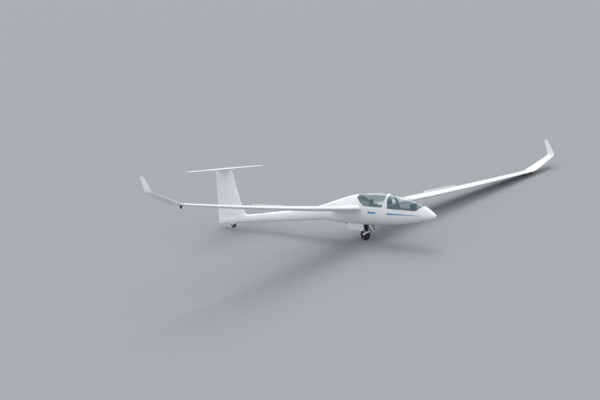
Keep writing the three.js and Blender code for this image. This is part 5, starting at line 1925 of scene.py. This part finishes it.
canopies = {"front": (FRONT_CANOPY, FRONT_GLASS, front_lugs), "rear": (REAR_CANOPY, REAR_GLASS, rear_lugs)}
for label, (outline, glass_outline, lugs) in canopies.items():
    frame_body, pane_body = canopy_bodies(outline, glass_outline, lugs)
    if label == "rear":
        frame_body = without(frame_body, [wing_under_open_canopy()])
    rides_on = f"{label}_canopy"
    piece(
        f"canopy_rim_{label}", frame_body, fuselage_gelcoat, rides_on,
        stands_for=(f"{label}_canopy_frame",), others=((lining, deeper_than(15)),))
    piece(
        f"canopy_pane_{label}", pane_body, canopy_glass, rides_on,
        stands_for=(f"{label}_canopy_glass",))

for label, places in LOCK_KNOBS.items():
    piece(f"lock_knobs_{label}", lock_knobs(places), knob_red, f"{label}_canopy")
piece("vent_window", vent_window(), black_plastic, "front_canopy")
piece("deck_seams", merged([deck_seam(1), deck_seam(-1)]), black_rubber)

gelcoat_piece("rudder_skin", rudder_body(), "rudder", "rudder")
stabiliser_blade = without(tailplane(), [loft(elevator_rings(1800, cove_ring))])
stabiliser_body = union([stabiliser_blade, *[fixed for fixed, _ in elevator_brackets()]])
gelcoat_piece("stabiliser_skin", stabiliser_body, "stabiliser")
gelcoat_piece("elevator_skin", elevator_body(), "elevator", "elevator")

for label, side in (("port", 1), ("starboard", -1)):
    gelcoat_piece(f"wing_skin_{label}", main_panel(side), f"wing_{label}")
    gelcoat_piece(f"tip_skin_{label}", rib_loft(TIP_RIBS, side), f"wing_tip_{label}")
    gelcoat_piece(f"winglet_skin_{label}", rib_loft(WINGLET_RIBS, side), f"winglet_{label}")
    gelcoat_piece(f"aileron_skin_{label}", aileron_body(side), f"aileron_{label}", f"aileron_{label}")
    gelcoat_piece(f"airbrake_blade_{label}", airbrake_body(side), f"airbrake_{label}", f"airbrake_{label}")
    wheel = SimpleNamespace(**{**vars(WING_WHEEL), "y": side * WING_WHEEL.y})
    tyre, hub = small_wheel(wheel)
    wheel_name = f"wing_wheel_{label}"
    piece(f"wing_tyre_{label}", tyre, black_rubber, wheel_name, (wheel_name,))
    piece(f"wing_hub_{label}", hub, grey_plastic, wheel_name, (wheel_name,))
    strut_node = (f"shock_strut_{label}",)
    piece(f"strut_{label}", shock_strut(side), light_metal, stands_for=strut_node)
    piece(f"spring_{label}", strut_spring(side), dark_metal, stands_for=strut_node)
    # The door's inner face gets the near-black finish of dirt and painted shade
    piece(
        f"door_{label}", gear_door(side), gelcoat, stands_for=(f"gear_door_{label}",),
        others=((bay_dirt_and_shade, inside_of_door),))

piece("leg_frame", gear_legs(), dark_metal, stands_for=("gear_leg_frame",))
piece("trailing_arm", swing_arm(), light_metal, stands_for=("gear_swing_arm",))
piece("calliper", brake_calliper(), light_metal)
piece("brake_disc", brake_disc(), light_metal, "main_wheel")
grooved = turned(tyre_profile(MAIN_WHEEL, RIM_BEAD, 170, TREAD), hub_of(MAIN_WHEEL), ACROSS, 96)
piece("tyre", grooved, tyre_rubber, "main_wheel", ("main_tyre",))
piece("rim", main_rim(), dark_metal, "main_wheel", ("main_rim",))
tyre, hub = small_wheel(TAIL_WHEEL)
piece("tail_tyre", tyre, black_rubber, "tail_wheel", ("tail_wheel",))
piece("tail_hub", hub, grey_plastic, "tail_wheel", ("tail_wheel",))
gelcoat_piece("tail_fairing", tail_fairing(), "tail_wheel_fairing")

# The cockpit's fittings

# Columns: name, distance behind the row's start, height, grip radius, finish
LEVERS = [("airbrake", 40, 80, 8.5, knob_blue), ("trim", 150, 46, 5, knob_green)]
pads = stuffed([make(line) for line, _ in SEATS.values() for make in (cushion_pad, headrest_pad)])
for number, (label, (line, feet)) in enumerate(SEATS.items()):
    cushion, headrest = pads[2 * number:2 * number + 2]
    shell = seat_shell(line, feet)
    piece(f"seat_shell_{label}", shell, seat_grey, stands_for=(f"seat_{label}",))
    piece(f"seat_pad_{label}", cushion, cushion_cloth,
              stands_for=(f"cushion_{label}",), smooth=180)
    piece(
        f"headrest_stem_{label}", headrest_stem(line), black_plastic,
        stands_for=(f"headrest_{label}",))
    piece(f"headrest_pad_{label}", headrest, headrest_cloth,
              stands_for=(f"headrest_{label}",), smooth=180)
    piece(f"harness_{label}", harness(line), strap_web)
    piece(f"buckle_{label}", buckle(line), light_metal)

    board, foot = PANELS[label]
    board_body = panel_board(board, foot)
    piece(f"board_{label}", board_body, black_plastic, stands_for=(f"panel_{label}",))
    bezels, faces, marks = dials(board)
    piece(f"bezels_{label}", bezels, dark_metal)
    piece(f"dial_faces_{label}", faces, dial_black)
    piece(f"dial_marks_{label}", marks, mark_white)

    tube, boot, grip, button = stick_parts(STICKS[label])
    node = (f"stick_{label}",)
    piece(f"stick_tube_{label}", tube, dark_metal, stands_for=node)
    piece(f"stick_boot_{label}", boot, black_rubber, stands_for=node)
    piece(f"stick_grip_{label}", grip, black_plastic, stands_for=node)
    piece(f"stick_button_{label}", button, knob_red, stands_for=node)

    start, end, z = CONTROL_ROWS[label]
    rods, reach = side_rods(start, end, z)
    for lever_name, behind, height, radius, material in LEVERS:
        station = start + behind
        stem, grip = lever(at(station, reach, z), at(station - 12, reach - 16, z + height), radius, 0.45)
        rods.append(stem)
        piece(f"{lever_name}_grip_{label}", grip, material)
    piece(f"side_rods_{label}", merged(rods), light_metal)
    piece(f"pedals_{label}", pedals(*PEDALS[label]), light_metal)


def carried(names, material, edge):
    """Gives nodes of the frame a finish, softly rounded edges and smooth shading."""
    for name in names:
        node = bpy.data.objects[name]
        node.data.materials.clear()
        node.data.materials.append(material)
        softened = node.modifiers.new("edge", "BEVEL")
        softened.width = edge / 1000
        softened.segments = 2
        softened.limit_method = "ANGLE"
        softened.angle_limit = math.radians(35)
        node.data.shade_smooth()
        node.data.set_sharp_from_angle(angle=math.radians(35))


carried(("main_axle", "tail_axle"), light_metal, 1.2)
FITTINGS = ("tow_hook_nose", "tow_hook_belly", "wing_wheel_fork_port", "wing_wheel_fork_starboard")
carried(FITTINGS, dark_metal, 0.8)
carried(("nose_vent",), black_plastic, 0.6)

# Stage, light and camera

FLOOR_HALF = 1500
floor_mesh = bpy.data.meshes.new("floor")
floor_mesh.from_pydata(
    [(-FLOOR_HALF, -FLOOR_HALF, 0), (FLOOR_HALF, -FLOOR_HALF, 0), (FLOOR_HALF, FLOOR_HALF, 0),
     (-FLOOR_HALF, FLOOR_HALF, 0)], [], [(0, 1, 2, 3)])
floor_mesh.materials.append(finish("studio floor", FLOOR_COLOUR, 0.95))
floor = bpy.data.objects.new("floor", floor_mesh)
bpy.context.scene.collection.objects.link(floor)


def studio_world():
    """A soft studio sky, brightest overhead."""
    world = bpy.data.worlds.new("studio")
    world.use_nodes = True
    nodes, links = world.node_tree.nodes, world.node_tree.links
    place = nodes.new("ShaderNodeTexCoord")
    apart = nodes.new("ShaderNodeSeparateXYZ")
    links.new(place.outputs["Generated"], apart.inputs["Vector"])
    sky = ramp(nodes, links, apart.outputs["Z"], SKY)
    links.new(sky, nodes["Background"].inputs["Color"])
    nodes["Background"].inputs["Strength"].default_value = SKY_STRENGTH
    return world


bpy.context.scene.world = studio_world()
bpy.context.scene.view_settings.view_transform = "Standard"

key_light = bpy.data.lights.new("key", "SUN")
key_light.energy = KEY.energy
key_light.angle = math.radians(KEY.angle)
key_light.color = KEY.colour
key = bpy.data.objects.new("key", key_light)
towards_key = (WORLD.to_3x3() * 1000) @ Vector(KEY.towards)
key.rotation_euler = towards_key.to_track_quat("Z", "Y").to_euler()
bpy.context.scene.collection.objects.link(key)

CAMERA = SimpleNamespace(
    place=Vector((149.36484, -192.19246, 8.80654)), yaw=2.2484245, pitch=-0.0331517, roll=0.0553494,
    lens=480)


def camera_matrix():
    """The camera's place and turn in the craft's frame, carried into the packed frame."""
    forward = Vector((
        math.cos(CAMERA.yaw) * math.cos(CAMERA.pitch), math.sin(CAMERA.yaw) * math.cos(CAMERA.pitch),
        math.sin(CAMERA.pitch)))
    level = Vector((math.sin(CAMERA.yaw), -math.cos(CAMERA.yaw), 0))
    down = forward.cross(level)
    right = level * math.cos(CAMERA.roll) + down * math.sin(CAMERA.roll)
    below = down * math.cos(CAMERA.roll) - level * math.sin(CAMERA.roll)
    turn = Matrix((right, -below, -forward)).transposed()
    world_turn = (WORLD.to_3x3() * 1000) @ turn
    place = WORLD @ (CAMERA.place * 1000)
    return Matrix.Translation(place) @ world_turn.to_4x4()


camera_data = bpy.data.cameras.new("camera")
camera_data.lens = CAMERA.lens
camera_data.sensor_width = 36
camera_data.clip_end = 3000
camera = bpy.data.objects.new("camera", camera_data)
camera.matrix_world = camera_matrix()
bpy.context.scene.collection.objects.link(camera)
bpy.context.scene.camera = camera

# The workshop is emptied

for leftover in list(workshop.objects):
    mesh = leftover.data
    bpy.data.objects.remove(leftover)
    bpy.data.meshes.remove(mesh)
bpy.data.collections.remove(workshop)
